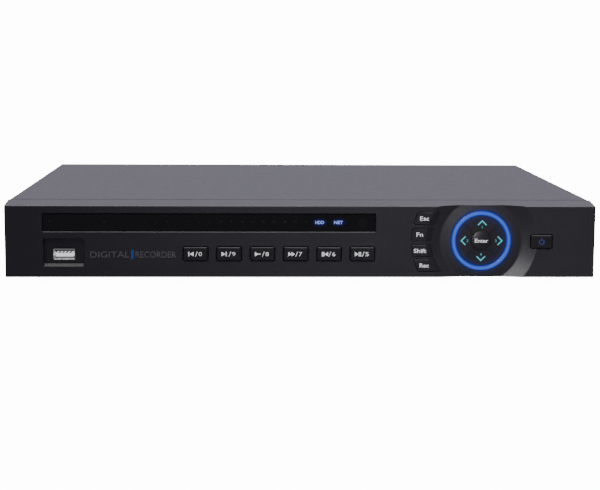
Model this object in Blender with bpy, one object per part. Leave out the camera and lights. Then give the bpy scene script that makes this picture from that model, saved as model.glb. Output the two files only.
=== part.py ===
"""DVR recorder: a slim folded-steel case with a moulded front, its keys, boards, drive, fan and connectors.

Sizes are in millimetres and become metres when a mesh is made. +X runs to the right seen from the front,
+Y to the back, +Z up. The origin is on the ground under the middle of the case. Pieces that touch on the
real object keep GAP between them here.
"""

import math

import bmesh
import bpy
from mathutils import Matrix, Vector

MM = 0.001
GAP = 0.3
SHEET = 1.0  # steel thickness

# Case
WIDTH = 375.0
HEIGHT = 53.0
FOOT_HEIGHT = 5.1
FRONT_Y = -141.8  # front face of the fascia
REAR_Y = 132.0  # outer face of the rear panel
TIP_Y = 142.5  # ends of the video sockets
COVER_HALF = 187.2
TRAY_HALF = COVER_HALF - SHEET - GAP
BEND = 1.6  # outer radius of the cover's bends
BASE_Z = FOOT_HEIGHT
FLOOR_Z = BASE_Z + SHEET
FOOT_PLACES = [(x, y) for x in (-150.0, 150.0) for y in (-95.0, 100.0)]
SIDE_SCREW_Y = (-85.0, 85.0)
SIDE_SCREW_Z = 17.0
SIDE_SCREW_PROUD = WIDTH / 2 - COVER_HALF
SIDE_FLANGE_TOP = 27.0
REAR_SCREW_X = (-140.0, -40.0, 112.0)
REAR_SCREW_Z = 48.2

# Fascia, with depths measured back from its front face
FASCIA_DEPTH = 17.0
FASCIA_LIP_Z = 50.8  # top of the front face
FASCIA_WALL = 2.5
FASCIA_SHELL = 2.0
TRAY_FRONT_Y = FRONT_Y + FASCIA_DEPTH + GAP
CLIP_X = (-120.0, 60.0)
BOSS_PLACES = [(x, z) for x in (-170.0, 60.0, 172.0) for z in (12.5, 44.0)]

# Display window, and the places of its indicators along X
WINDOW_X = (-163.65, 47.1)
WINDOW_Z = (34.38, 45.88)
WINDOW_SEAT = 1.9
SLOT_X = (-161.9, 44.0)
SLOT_Z = (36.6, 43.6)
CHANNEL_PITCH = 6.75
INDICATOR_X = [-159.1, -124.4] + [-98.6 + CHANNEL_PITCH * i for i in range(16)] + [11.4, 23.3]
RECEIVER_X = 38.75
LIGHT_Z = 40.1

# Dial: dish, boss, lit ring and the keys inside it
DIAL_X = 114.7
DIAL_Z = 28.6
DISH_RADIUS = 35.3
TROUGH_RADIUS = 26.2
TROUGH_DEPTH = 3.3
BOSS_RADIUS = 19.4
BOSS_DEPTH = 1.4
BACKING_RADIUS = 37.5
BACKING_DEPTH = 6.3
RING_INNER = 16.3
RING_OUTER = 19.1
PAD_INNER = 6.45
PAD_OUTER = 15.95
PAD_DEPTH = 1.5
PAD_STEM_RADIUS = 12.0
ENTER_RADIUS = 6.1
SPLIT = 0.25  # half the gap between two direction keys

# Keys
KEY_GAP = 0.35
KEY_PROUD = 0.7
KEY_TRAVEL = 0.5
FLANGE_DEPTH = (2.8, 3.8)
STEM_END = 9.2
SWITCH_TOP = STEM_END + KEY_TRAVEL + GAP
TRANSPORT_NAMES = ("previous_key", "play_key", "slow_key", "fast_key", "step_back_key", "step_forward_key")
TRANSPORT_X = [-67.2 + 21.18 * i for i in range(6)]
TRANSPORT_Z = 20.2
TRANSPORT_HOLE = (16.1, 9.25)
SIDE_KEYS = {
    "esc_key": (39.35, 46.78),
    "fn_key": (28.9, 36.7),
    "shift_key": (18.66, 26.01),
    "record_key": (9.1, 16.66),
}  # the lower and upper edge of each
SIDE_KEY_INNER = 32.3
SIDE_KEY_OUTER = 44.6
SIDE_KEY_STEM_RADIUS = 41.0
POWER_X = 153.2
POWER_Z = 28.15
POWER_HOLE = (14.3, 9.15)

# Front USB socket
USB_RECESS_X = (-163.2, -137.4)
USB_RECESS_Z = (12.1, 29.82)
USB_RECESS_DEPTH = 3.0
USB_X = -150.5
USB_Z = 19.56
USB_LENGTH = 14.0
USB_MOUTH_DEPTH = 2.4

# Boards
KEY_BOARD_DEPTH = (13.0, 14.6)
KEY_BOARD_X = (-175.0, 177.0)
KEY_BOARD_Z = (9.8, 47.0)
BOARD_Z = 12.0
BOARD_TOP = BOARD_Z + 1.6
BOARD_X = (-180.0, 121.0)
BOARD_Y = (33.0, 130.0)
STANDOFF_PLACES = [(x, y) for x in (-174.0, -40.0, 60.0) for y in (38.0, 108.0)]

# Hard drive
DRIVE_LOW = (10.0, -121.0, 10.3)
DRIVE_SIZE = (101.6, 147.0, 26.1)
DATA_PLUG_X = (22.0, 31.0)
POWER_PLUG_X = (36.0, 56.0)
PLUG_Y = 46.0
RIBBON_X = (-62.0, -36.0)

# Rear connectors
VIDEO_X = [-5.0 + 15.2 * i for i in range(8)]
VIDEO_Z = (20.0, 37.0)
AUDIO_X = (-36.0, -22.0)
CONNECTOR_FACE_Y = REAR_Y + 0.6
VGA_X = -80.0
VGA_Z = 20.6
HDMI_X = -52.5
LAN_X = -126.0
USB_REAR_X = -105.2
TERMINAL_X = (-177.0, -142.0)
TERMINAL_PITCH = 3.5
JACK_X = 116.4
GROUND_PLACE = (116.4, 37.0)
SWITCH_X = 130.0
SWITCH_Z = 26.0
SWITCH_PIVOT_Y = 131.0
SWITCH_REST = 11.0  # degrees that the rocker leans at rest
FAN_X = 158.6
FAN_Z = 29.5
FAN_SIZE = 40.0
FAN_DEPTH = 20.0


def depth_y(depth):
    """The Y of a depth behind the fascia's front face."""
    return FRONT_Y + depth


def helper(work):
    """An object from a bmesh, still in millimetres, to be combined with others and finished by piece."""
    bmesh.ops.remove_doubles(work, verts=work.verts, dist=1e-5)
    bmesh.ops.recalc_face_normals(work, faces=work.faces)
    mesh = bpy.data.meshes.new("shape")
    work.to_mesh(mesh)
    work.free()
    obj = bpy.data.objects.new("shape", mesh)
    bpy.context.collection.objects.link(obj)
    return obj


def frustum(low, high, inset_x=0.0, inset_z=0.0):
    """A block between two corners, whose back end is smaller by the insets on each side."""
    work = bmesh.new()
    corners = []
    for y, shrink in ((low[1], 0.0), (high[1], 1.0)):
        x0, x1 = low[0] + inset_x * shrink, high[0] - inset_x * shrink
        z0, z1 = low[2] + inset_z * shrink, high[2] - inset_z * shrink
        corners.append([work.verts.new((x, y, z)) for x, z in ((x0, z0), (x1, z0), (x1, z1), (x0, z1))])
    front, back = corners
    work.faces.new(front)
    work.faces.new(back[::-1])
    for i in range(4):
        j = (i + 1) % 4
        work.faces.new((front[i], back[i], back[j], front[j]))
    return helper(work)


def block(low, high):
    """A box between two corners."""
    return frustum(low, high)


def slab(centre, size, y0, y1):
    """A box facing the front or back: centre and size in X and Z, and its two Y faces."""
    (x, z), (width, height) = centre, size
    return block((x - width / 2, y0, z - height / 2), (x + width / 2, y1, z + height / 2))


def prism(outline, axis, start, end):
    """An outline pushed along an axis: outlines are (y, z) for X, (x, z) for Y and (x, y) for Z."""
    place = {
        "X": lambda a, b, along: (along, a, b),
        "Y": lambda a, b, along: (a, along, b),
        "Z": lambda a, b, along: (a, b, along),
    }[axis]
    work = bmesh.new()
    ends = [[work.verts.new(place(a, b, along)) for a, b in outline] for along in (start, end)]
    work.faces.new(ends[0])
    work.faces.new(ends[1][::-1])
    for i in range(len(outline)):
        j = (i + 1) % len(outline)
        work.faces.new((ends[0][i], ends[1][i], ends[1][j], ends[0][j]))
    return helper(work)


def turned(profile, centre, axis="Y", steps=24):
    """A profile of (along, radius) points turned about an axis through centre.

    A profile that starts and ends on the axis makes a solid, and any other is closed into a ring.
    """
    cx, cy, cz = centre
    place = {
        "X": lambda along, a, b: (cx + along, cy + a, cz + b),
        "Y": lambda along, a, b: (cx + a, cy + along, cz + b),
        "Z": lambda along, a, b: (cx + a, cy + b, cz + along),
    }[axis]
    work = bmesh.new()
    rows = []
    for along, radius in profile:
        if radius == 0.0:
            rows.append([work.verts.new(place(along, 0.0, 0.0))] * steps)
            continue
        row = []
        for i in range(steps):
            angle = 2 * math.pi * i / steps
            row.append(work.verts.new(place(along, radius * math.cos(angle), radius * math.sin(angle))))
        rows.append(row)
    solid = profile[0][1] == 0.0 and profile[-1][1] == 0.0
    pairs = list(zip(rows, rows[1:])) + ([] if solid else [(rows[-1], rows[0])])
    for first, second in pairs:
        for i in range(steps):
            j = (i + 1) % steps
            corners = list(dict.fromkeys((first[i], first[j], second[j], second[i])))
            work.faces.new(corners)
    return helper(work)


def rod(centre, radius, start, end, axis="Y", steps=12):
    """A round bar about an axis through centre, between two distances from centre."""
    return turned([(start, 0.0), (start, radius), (end, radius), (end, 0.0)], centre, axis, steps)


def rounded(centre, size, radius, steps=2):
    """The (a, b) outline of a rectangle with round corners."""
    outline = []
    for corner, (sx, sz) in enumerate(((1, 1), (-1, 1), (-1, -1), (1, -1))):
        for i in range(steps + 1):
            angle = math.radians(90 * corner + 90 * i / steps)
            outline.append(
                (
                    centre[0] + sx * (size[0] / 2 - radius) + radius * math.cos(angle),
                    centre[1] + sz * (size[1] / 2 - radius) + radius * math.sin(angle),
                )
            )
    return outline


def arc(centre, radius, start, end, steps):
    """Points on an arc between two angles in degrees."""
    angles = [math.radians(start + (end - start) * i / steps) for i in range(steps + 1)]
    return [(centre[0] + radius * math.cos(t), centre[1] + radius * math.sin(t)) for t in angles]


def combine(target, helpers, operation, solver="EXACT"):
    """Joins the helpers to the target, or cuts them from it, and removes them."""
    for other in helpers:
        modifier = target.modifiers.new("Combine", "BOOLEAN")
        modifier.operation = operation
        modifier.solver = solver
        modifier.object = other
    graph = bpy.context.evaluated_depsgraph_get()
    mesh = bpy.data.meshes.new_from_object(target.evaluated_get(graph))
    target.modifiers.clear()
    target.data = mesh
    for other in helpers:
        bpy.data.objects.remove(other)
    return target


def joined(target, *others):
    return combine(target, others, "UNION")


def cut(target, *others):
    return combine(target, others, "DIFFERENCE")


def material(name, colour, roughness, metallic=0.0, glow=0.0):
    """A plain finish."""
    made = bpy.data.materials.new(name)
    made.use_nodes = True
    shader = made.node_tree.nodes["Principled BSDF"]
    shader.inputs["Base Color"].default_value = (*colour, 1.0)
    shader.inputs["Roughness"].default_value = roughness
    shader.inputs["Metallic"].default_value = metallic
    shader.inputs["Emission Color"].default_value = (*colour, 1.0)
    shader.inputs["Emission Strength"].default_value = glow
    made.diffuse_color = (*colour, 1.0)
    return made


def piece(obj, name, finish, origin=(0.0, 0.0, 0.0)):
    """Turns a shape into metres with its origin in place, as on its joint's axis, and gives it its finish."""
    place = Vector(origin)
    obj.data.transform(Matrix.Scale(MM, 4) @ Matrix.Translation(-place))
    obj.location = place * MM
    obj.data.materials.clear()
    obj.data.materials.append(finish)
    obj.data.shade_smooth()
    obj.data.set_sharp_from_angle(angle=math.radians(30))
    obj.name = name
    obj.data.name = name
    return obj


# Case


def cover_outline(half, top, radius):
    """The (x, z) outline of the cover's outside or inside, from the bottom left over the top."""
    centre_z = top - radius
    left = arc((-half + radius, centre_z), radius, 180, 90, 3)
    right = arc((half - radius, centre_z), radius, 90, 0, 3)
    return [(-half, BASE_Z - 1.0)] + left + right + [(half, BASE_Z - 1.0)]


def make_top_cover(steel):
    flange_y = REAR_Y + GAP
    back_y = flange_y + SHEET
    shell = prism(cover_outline(COVER_HALF, HEIGHT, BEND), "Y", TRAY_FRONT_Y, back_y)
    inner_outline = cover_outline(COVER_HALF - SHEET, HEIGHT - SHEET, BEND - SHEET)
    inside = prism(inner_outline, "Y", TRAY_FRONT_Y - 1, flange_y)
    below = block((-WIDTH, FRONT_Y, 0.0), (WIDTH, TIP_Y, BASE_Z))
    window = block((-COVER_HALF - 1, flange_y - 1, 0.0), (COVER_HALF + 1, back_y + 1, REAR_SCREW_Z - 4.2))
    holes = [rod((x, back_y, REAR_SCREW_Z), 1.8, -3.0, 3.0) for x in REAR_SCREW_X]
    for group_y in (-40.0, 45.0):
        for i in range(6):
            y = group_y + (i - 2.5) * 9.0
            holes.append(block((-WIDTH, y - 2.0, 32.0), (WIDTH, y + 2.0, 46.0)))
    for side in (-1, 1):
        sink = [(3.0, 0.0), (3.0, 3.6), (0.0, 3.5), (-SHEET, 2.3), (-3.0, 2.3), (-3.0, 0.0)]
        sink = [(side * along, radius) for along, radius in sink]
        holes += [turned(sink, (side * COVER_HALF, y, SIDE_SCREW_Z), "X", 10) for y in SIDE_SCREW_Y]
    piece(cut(shell, inside, below, window, *holes), "top_cover", steel)


def make_bottom_chassis(steel):
    back_y = REAR_Y - SHEET - GAP
    tray = block((-TRAY_HALF, TRAY_FRONT_Y, BASE_Z), (TRAY_HALF, back_y, FLOOR_Z))
    walls = [block((-TRAY_HALF, TRAY_FRONT_Y, BASE_Z), (TRAY_HALF, TRAY_FRONT_Y + SHEET, 49.5))]
    for side in (-1, 1):
        edges = sorted((side * TRAY_HALF, side * (TRAY_HALF - SHEET)))
        walls.append(block((edges[0], TRAY_FRONT_Y, BASE_Z), (edges[1], back_y, SIDE_FLANGE_TOP)))
    posts = [rod((x, y, 0.0), 3.0, FLOOR_Z - 0.5, BOARD_Z - GAP, "Z", 8) for x, y in STANDOFF_PLACES]
    for x in (DRIVE_LOW[0] + 8.0, DRIVE_LOW[0] + DRIVE_SIZE[0] - 8.0):
        for y in (DRIVE_LOW[1] + 28.0, DRIVE_LOW[1] + 120.0):
            posts.append(rod((x, y, 0.0), 4.0, FLOOR_Z - 0.5, DRIVE_LOW[2] - GAP, "Z", 8))
    joined(tray, *walls, *posts)
    holes = [rod((x, y, BASE_Z), 3.3, -2.0, 3.0, "Z", 12) for x, y in FOOT_PLACES]
    holes += [rod((0.0, y, SIDE_SCREW_Z), 1.8, -WIDTH, WIDTH, "X", 8) for y in SIDE_SCREW_Y]
    for i in range(8):
        y = -86.0 + 12.0 * i
        holes.append(block((-130.0, y - 2.0, BASE_Z - 1), (-90.0, y + 2.0, FLOOR_Z + 1)))
    for x in CLIP_X:
        holes.append(block((x - 7.0, TRAY_FRONT_Y - 1, 48.4), (x + 7.0, TRAY_FRONT_Y + 2, 51.0)))
        holes.append(block((x - 7.0, TRAY_FRONT_Y - 1, FLOOR_Z), (x + 7.0, TRAY_FRONT_Y + 2, FLOOR_Z + 2.8)))
    holes.append(block((RIBBON_X[0] - 2, TRAY_FRONT_Y - 1, 17.0), (RIBBON_X[1] + 2, TRAY_FRONT_Y + 2, 28.0)))
    piece(cut(tray, *holes), "bottom_chassis", steel)


def fan_slots():
    """The openings in front of the fan: rows that fill a circle, with a web down the middle."""
    slots = []
    for row in range(-3, 4):
        z = 4.8 * row
        reach = math.sqrt(17.5**2 - z**2)
        for side in (-1, 1):
            middle = FAN_X + side * (reach + 1.2) / 2
            slots.append(slab((middle, FAN_Z + z), (reach - 1.2, 3.0), REAR_Y - 3, REAR_Y + 1))
    return slots


def make_rear_panel(steel):
    inner_y = REAR_Y - SHEET
    panel = block((-TRAY_HALF, inner_y, BASE_Z), (TRAY_HALF, REAR_Y, HEIGHT - SHEET - 2 * GAP))
    holes = fan_slots()

    def window(centre, size):
        holes.append(slab(centre, size, inner_y - 1, REAR_Y + 1))

    def round_hole(centre, radius, steps=12):
        holes.append(rod((centre[0], REAR_Y, centre[1]), radius, -3.0, 2.0, "Y", steps))

    for z in VIDEO_Z:
        for x in VIDEO_X:
            round_hole((x, z), 6.4, 10)
        for x in AUDIO_X:
            round_hole((x, z), 5.0)
    for x in REAR_SCREW_X:
        round_hole((x, REAR_SCREW_Z), 1.8)
    round_hole(GROUND_PLACE, 2.3)
    window((VGA_X, VGA_Z), (31.6, 14.2))
    window((HDMI_X, 16.9), (16.0, 6.8))
    window((LAN_X, 20.8), (17.0, 14.8))
    window((USB_REAR_X, 21.9), (15.4, 17.0))
    window((sum(TERMINAL_X) / 2, 19.6), (TERMINAL_X[1] - TERMINAL_X[0] + 1.0, 12.4))
    window((JACK_X, 19.5), (10.0, 12.2))
    window((SWITCH_X, SWITCH_Z), (13.2, 19.2))
    piece(cut(panel, *holes), "rear_panel", steel)


def make_feet(rubber):
    top = BASE_Z - GAP
    peg = FLOOR_Z + 1.2
    profile = [(0.0, 0.0), (0.0, 8.0), (1.0, 9.0), (top, 9.6), (top, 2.9), (peg, 2.9), (peg, 0.0)]
    names = ("foot_front_left", "foot_rear_left", "foot_front_right", "foot_rear_right")
    for name, (x, y) in zip(names, FOOT_PLACES):
        piece(turned(profile, (x, y, 0.0), "Z", 14), name, rubber, (x, y, 0.0))


def make_case_screws(steel):
    """Countersunk screws in the cover's sides, pan heads at its back and the earth screw."""
    for side, word in ((-1, "left"), (1, "right")):
        for y, end in zip(SIDE_SCREW_Y, ("front", "rear")):
            profile = [(SIDE_SCREW_PROUD, 0.0), (SIDE_SCREW_PROUD, 2.6), (0.0, 3.0), (-SHEET, 1.8)]
            profile += [(-SHEET, 1.45), (-6.0, 1.45), (-6.0, 0.0)]
            place = (side * COVER_HALF, y, SIDE_SCREW_Z)
            profile = [(side * along, radius) for along, radius in profile]
            piece(turned(profile, place, "X", 10), f"side_screw_{word}_{end}", steel, place)
    face_y = REAR_Y + GAP + SHEET + GAP
    for x, word in zip(REAR_SCREW_X, ("left", "centre", "right")):
        profile = [(-7.0, 0.0), (-7.0, 1.45), (0.0, 1.45), (0.0, 2.9), (1.2, 2.8), (1.9, 1.8), (1.9, 0.0)]
        place = (x, face_y, REAR_SCREW_Z)
        piece(turned(profile, place, "Y", 10), f"rear_screw_{word}", steel, place)
    x, z = GROUND_PLACE
    profile = [(-6.0, 0.0), (-6.0, 1.9), (GAP, 1.9), (GAP, 4.5), (1.1, 4.5)]
    profile += [(1.1, 3.5), (2.8, 3.3), (3.5, 2.2), (3.5, 0.0)]
    piece(turned(profile, (x, REAR_Y, z), "Y", 12), "ground_screw", steel, (x, REAR_Y, z))


# Front


def side_key_outline(name, grow):
    """The (x, z) outline of a side key: two arcs about the dial's centre between two levels."""
    low, high = SIDE_KEYS[name]
    inner, outer = SIDE_KEY_INNER - grow, SIDE_KEY_OUTER + grow
    levels = [low - grow, high + grow]
    outline = []
    for radius, (first, last) in ((outer, levels), (inner, levels[::-1])):
        for i in range(5):
            z = first + (last - first) * i / 4
            outline.append((DIAL_X - math.sqrt(radius**2 - (z - DIAL_Z) ** 2), z))
    return outline


def side_key_stem(name):
    """The (x, z) centre of a side key's stem, on an arc clear of the dish's backing."""
    z = sum(SIDE_KEYS[name]) / 2
    return (DIAL_X - math.sqrt(SIDE_KEY_STEM_RADIUS**2 - (z - DIAL_Z) ** 2), z)


def pad_stem(quarter):
    """The (x, z) centre of a direction key's stem."""
    angle = math.radians(90 * quarter)
    return (DIAL_X + PAD_STEM_RADIUS * math.cos(angle), DIAL_Z + PAD_STEM_RADIUS * math.sin(angle))


def make_fascia(plastic):
    back_y = depth_y(FASCIA_DEPTH)
    outline = [(FRONT_Y, BASE_Z), (FRONT_Y, FASCIA_LIP_Z), (back_y, HEIGHT), (back_y, BASE_Z)]
    fascia = prism(outline, "X", -WIDTH / 2, WIDTH / 2)
    slope = (HEIGHT - FASCIA_LIP_Z) / FASCIA_DEPTH
    wall_y = depth_y(FASCIA_WALL)
    hollow = [
        (wall_y, BASE_Z + FASCIA_SHELL),
        (wall_y, FASCIA_LIP_Z + slope * FASCIA_WALL - FASCIA_SHELL),
        (back_y + 1, HEIGHT + slope - FASCIA_SHELL),
        (back_y + 1, BASE_Z + FASCIA_SHELL),
    ]
    cut(fascia, prism(hollow, "X", FASCIA_SHELL - WIDTH / 2, WIDTH / 2 - FASCIA_SHELL))
    dial = (DIAL_X, FRONT_Y, DIAL_Z)
    backing = cut(
        rod(dial, BACKING_RADIUS, 1.0, BACKING_DEPTH, "Y", 48),
        block((0.0, FRONT_Y, FASCIA_LIP_Z - 1.0), (WIDTH, 0.0, HEIGHT + WIDTH)),
        block((0.0, FRONT_Y, -WIDTH), (WIDTH, 0.0, BASE_Z + 1.0)),
    )
    window_size = (WINDOW_X[1] - WINDOW_X[0], WINDOW_Z[1] - WINDOW_Z[0])
    window_centre = (sum(WINDOW_X) / 2, sum(WINDOW_Z) / 2)
    recess_centre = (sum(USB_RECESS_X) / 2, sum(USB_RECESS_Z) / 2)
    recess_size = (USB_RECESS_X[1] - USB_RECESS_X[0], USB_RECESS_Z[1] - USB_RECESS_Z[0])
    additions = [
        backing,
        slab(window_centre, (window_size[0] + 5.0, window_size[1] + 3.4), depth_y(1.0), depth_y(4.0)),
        slab(recess_centre, (recess_size[0] + 4.0, recess_size[1] + 4.0), depth_y(1.0), depth_y(5.0)),
    ]
    additions += [rod((x, FRONT_Y, z), 2.6, 2.0, KEY_BOARD_DEPTH[0] - GAP, "Y", 8) for x, z in BOSS_PLACES]
    for x in CLIP_X:
        for low_z, high_z in ((BASE_Z + 1.5, BASE_Z + 3.3), (49.0, 51.4)):
            additions.append(block((x - 6.0, depth_y(12.0), low_z), (x + 6.0, TRAY_FRONT_Y + 3.5, high_z)))
    joined(fascia, *additions)
    dish = [(-5.0, 0.0), (-5.0, DISH_RADIUS), (0.0, DISH_RADIUS), (TROUGH_DEPTH, TROUGH_RADIUS)]
    dish += [(BOSS_DEPTH, BOSS_RADIUS), (20.0, BOSS_RADIUS), (20.0, 0.0)]
    holes = [turned(dish, dial, "Y", 48)]
    holes.append(slab(window_centre, window_size, FRONT_Y - 1, depth_y(WINDOW_SEAT)))
    holes.append(block((SLOT_X[0], FRONT_Y, SLOT_Z[0]), (SLOT_X[1], depth_y(6.0), SLOT_Z[1])))
    for x in TRANSPORT_X:
        holes.append(prism(rounded((x, TRANSPORT_Z), TRANSPORT_HOLE, 0.8), "Y", FRONT_Y - 1, depth_y(6.0)))
    for name in SIDE_KEYS:
        holes.append(prism(side_key_outline(name, KEY_GAP), "Y", FRONT_Y - 1, depth_y(9.0)))
    holes.append(prism(rounded((POWER_X, POWER_Z), POWER_HOLE, 0.8), "Y", FRONT_Y - 1, depth_y(9.0)))
    holes.append(prism(rounded(recess_centre, recess_size, 1.5), "Y", FRONT_Y - 1, depth_y(USB_RECESS_DEPTH)))
    holes.append(slab((USB_X, USB_Z), (14.6, 8.0), FRONT_Y - 1, depth_y(9.0)))
    # The exact solver leaves open edges round the dial's hole
    piece(combine(fascia, holes, "DIFFERENCE", "MANIFOLD"), "front_fascia", plastic)


def make_window(acrylic):
    centre = (sum(WINDOW_X) / 2, sum(WINDOW_Z) / 2)
    size = (WINDOW_X[1] - WINDOW_X[0] - 2 * GAP, WINDOW_Z[1] - WINDOW_Z[0] - 2 * GAP)
    plate = prism(rounded(centre, size, 0.4, 1), "Y", depth_y(0.3), depth_y(WINDOW_SEAT - GAP))
    piece(plate, "display_window", acrylic)


def make_indicator_shroud(plastic):
    """The comb that keeps each indicator's light apart behind the window."""
    low = (SLOT_X[0] + GAP, depth_y(2.2), SLOT_Z[0] + GAP)
    shroud = block(low, (33.0, depth_y(KEY_BOARD_DEPTH[0] - GAP), SLOT_Z[1] - GAP))
    pockets = [slab((x, LIGHT_Z), (3.2, 3.6), depth_y(1.0), depth_y(14.0)) for x in INDICATOR_X]
    piece(cut(shroud, *pockets), "indicator_shroud", plastic)


def make_ir_receiver(resin):
    dome_y = depth_y(7.2)
    board_y = depth_y(KEY_BOARD_DEPTH[0] - GAP)
    profile = [(-2.4, 0.0), (-2.1, 1.2), (-1.2, 2.1), (0.0, 2.4), (1.0, 2.4), (1.0, 0.0)]
    body = turned(profile, (RECEIVER_X, dome_y, LIGHT_Z), "Y", 12)
    back = slab((RECEIVER_X, LIGHT_Z), (5.2, 6.0), dome_y + 0.2, dome_y + 3.2)
    legs = [slab((RECEIVER_X + x, LIGHT_Z), (0.6, 0.6), dome_y + 2.0, board_y) for x in (-1.8, 0.0, 1.8)]
    piece(joined(body, back, *legs), "ir_receiver", resin)


def make_light_ring(lit):
    profile = [(1.0, RING_INNER), (1.0, RING_OUTER), (6.6, RING_OUTER)]
    profile += [(6.6, 20.2), (7.6, 20.2), (7.6, RING_INNER)]
    piece(turned(profile, (DIAL_X, FRONT_Y, DIAL_Z), "Y", 36), "light_ring", lit)


def pad_sector(middle, inner, outer, split, depths):
    """A quarter of a ring about the dial's centre, short of each neighbour by the split."""
    outline = []
    for radius, turn, steps in ((outer, 1, 8), (inner, -1, 4)):
        half = turn * (45.0 - math.degrees(math.asin(split / radius)))
        outline += arc((DIAL_X, DIAL_Z), radius, middle - half, middle + half, steps)
    return prism(outline, "Y", depth_y(depths[0]), depth_y(depths[1]))


def make_pad_keys(plastic):
    for quarter, name in enumerate(("right_key", "up_key", "left_key", "down_key")):
        middle = 90 * quarter
        cap = pad_sector(middle, PAD_INNER, PAD_OUTER, SPLIT, (PAD_DEPTH, 6.0))
        skirt = pad_sector(middle, 8.0, PAD_OUTER - 0.2, SPLIT + 0.2, (5.8, 8.2))
        flange = pad_sector(middle, 8.2, 18.0, SPLIT + 0.1, (7.9, 8.9))
        x, z = pad_stem(quarter)
        stem = slab((x, z), (4.0, 4.0), depth_y(8.5), depth_y(STEM_END))
        piece(joined(cap, skirt, flange, stem), name, plastic, (x, FRONT_Y, z))
    profile = [(0.4, 0.0), (0.7, 3.2), (1.1, 5.4), (1.6, ENTER_RADIUS), (6.5, ENTER_RADIUS)]
    profile += [(6.5, 7.6), (7.5, 7.6), (7.5, 3.0), (STEM_END, 3.0), (STEM_END, 0.0)]
    place = (DIAL_X, FRONT_Y, DIAL_Z)
    piece(turned(profile, place, "Y", 16), "enter_key", plastic, place)


def flat_key(name, centre, hole, plastic, flange_left=None):
    """A rectangular key: its cap, the flange that holds it behind the wall, and its stem."""
    size = (hole[0] - 2 * KEY_GAP, hole[1] - 2 * KEY_GAP)
    cap = prism(rounded(centre, size, 0.6), "Y", depth_y(-KEY_PROUD), depth_y(FLANGE_DEPTH[1]))
    left = centre[0] - hole[0] / 2 - 0.9 if flange_left is None else flange_left
    right = centre[0] + hole[0] / 2 + 0.9
    low = (left, depth_y(FLANGE_DEPTH[0]), centre[1] - hole[1] / 2 - 0.9)
    flange = block(low, (right, depth_y(FLANGE_DEPTH[1]), centre[1] + hole[1] / 2 + 0.9))
    stem = slab(centre, (5.0, 5.0), depth_y(3.0), depth_y(STEM_END))
    piece(joined(cap, flange, stem), name, plastic, (centre[0], FRONT_Y, centre[1]))


def make_side_keys(plastic):
    """Keys whose faces follow the fascia, and dip into the dish at their right ends."""
    for name in SIDE_KEYS:
        cap = prism(side_key_outline(name, 0.0), "Y", depth_y(-0.5), depth_y(FLANGE_DEPTH[1]))
        dish = [(-5.0, 0.0), (-5.0, DISH_RADIUS), (-0.5, DISH_RADIUS)]
        dish += [(TROUGH_DEPTH - 0.5, TROUGH_RADIUS), (TROUGH_DEPTH - 0.5, 0.0)]
        cut(cap, turned(dish, (DIAL_X, FRONT_Y, DIAL_Z), "Y", 48))
        flange = prism(side_key_outline(name, 0.9), "Y", depth_y(FLANGE_DEPTH[0]), depth_y(FLANGE_DEPTH[1]))
        cut(flange, rod((DIAL_X, FRONT_Y, DIAL_Z), BACKING_RADIUS + 0.6, -5.0, 10.0, "Y", 48))
        x, z = side_key_stem(name)
        stem = slab((x, z), (4.0, 4.0), depth_y(3.0), depth_y(STEM_END))
        piece(joined(cap, flange, stem), name, plastic, (x, FRONT_Y, z))


def make_front_keys(plastic):
    for name, x in zip(TRANSPORT_NAMES, TRANSPORT_X):
        flat_key(name, (x, TRANSPORT_Z), TRANSPORT_HOLE, plastic)
    clear_of_backing = DIAL_X + BACKING_RADIUS + 0.6
    flat_key("power_key", (POWER_X, POWER_Z), POWER_HOLE, plastic, clear_of_backing)


def make_front_usb(steel, white):
    y0 = depth_y(USB_MOUTH_DEPTH)
    y1 = y0 + USB_LENGTH
    shell = slab((USB_X, USB_Z), (13.2, 5.8), y0 + 0.8, y1)
    flare = frustum((USB_X - 6.95, y0, USB_Z - 3.65), (USB_X + 6.95, y0 + 1.8, USB_Z + 3.65), 0.35, 0.75)
    joined(shell, flare)
    cavity = slab((USB_X, USB_Z), (12.4, 5.0), y0 - 1, y1 + 1)
    mouth = frustum((USB_X - 6.7, y0 - 0.1, USB_Z - 3.4), (USB_X + 6.7, y0 + 1.8, USB_Z + 3.4), 0.55, 0.95)
    piece(cut(shell, cavity, mouth), "front_usb_shell", steel)
    tongue = block((USB_X - 5.5, y0 + 1.6, USB_Z - 1.9), (USB_X + 5.5, y1 - 1, USB_Z + 0.1))
    base = slab((USB_X, USB_Z), (11.8, 4.4), y1 - 3.0, y1)
    piece(joined(tongue, base), "front_usb_tongue", white)


def make_key_board(laminate):
    y0, y1 = depth_y(KEY_BOARD_DEPTH[0]), depth_y(KEY_BOARD_DEPTH[1])
    board = block((KEY_BOARD_X[0], y0, KEY_BOARD_Z[0]), (KEY_BOARD_X[1], y1, KEY_BOARD_Z[1]))
    switches = [(x, TRANSPORT_Z) for x in TRANSPORT_X] + [side_key_stem(name) for name in SIDE_KEYS]
    switches += [pad_stem(quarter) for quarter in range(4)]
    switches += [(POWER_X, POWER_Z), (DIAL_X, DIAL_Z)]
    additions = []
    for centre in switches:
        additions.append(slab(centre, (6.0, 6.0), depth_y(SWITCH_TOP + 0.8), y0 + 0.1))
        additions.append(slab(centre, (2.4, 2.4), depth_y(SWITCH_TOP), depth_y(SWITCH_TOP + 1.0)))
    for x in INDICATOR_X:
        additions.append(slab((x, LIGHT_Z), (2.0, 1.4), y0 - 0.7, y0 + 0.1))
    header = block((RIBBON_X[0] - 1, y1 - 0.1, 20.5), (RIBBON_X[1] + 1, y1 + 1.2, 24.5))
    joined(board, *additions, header)
    notch = slab((USB_X, USB_Z), (14.4, 7.0), y0 - 1, y1 + 1)
    piece(cut(board, notch), "key_board", laminate)


# Inside


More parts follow.
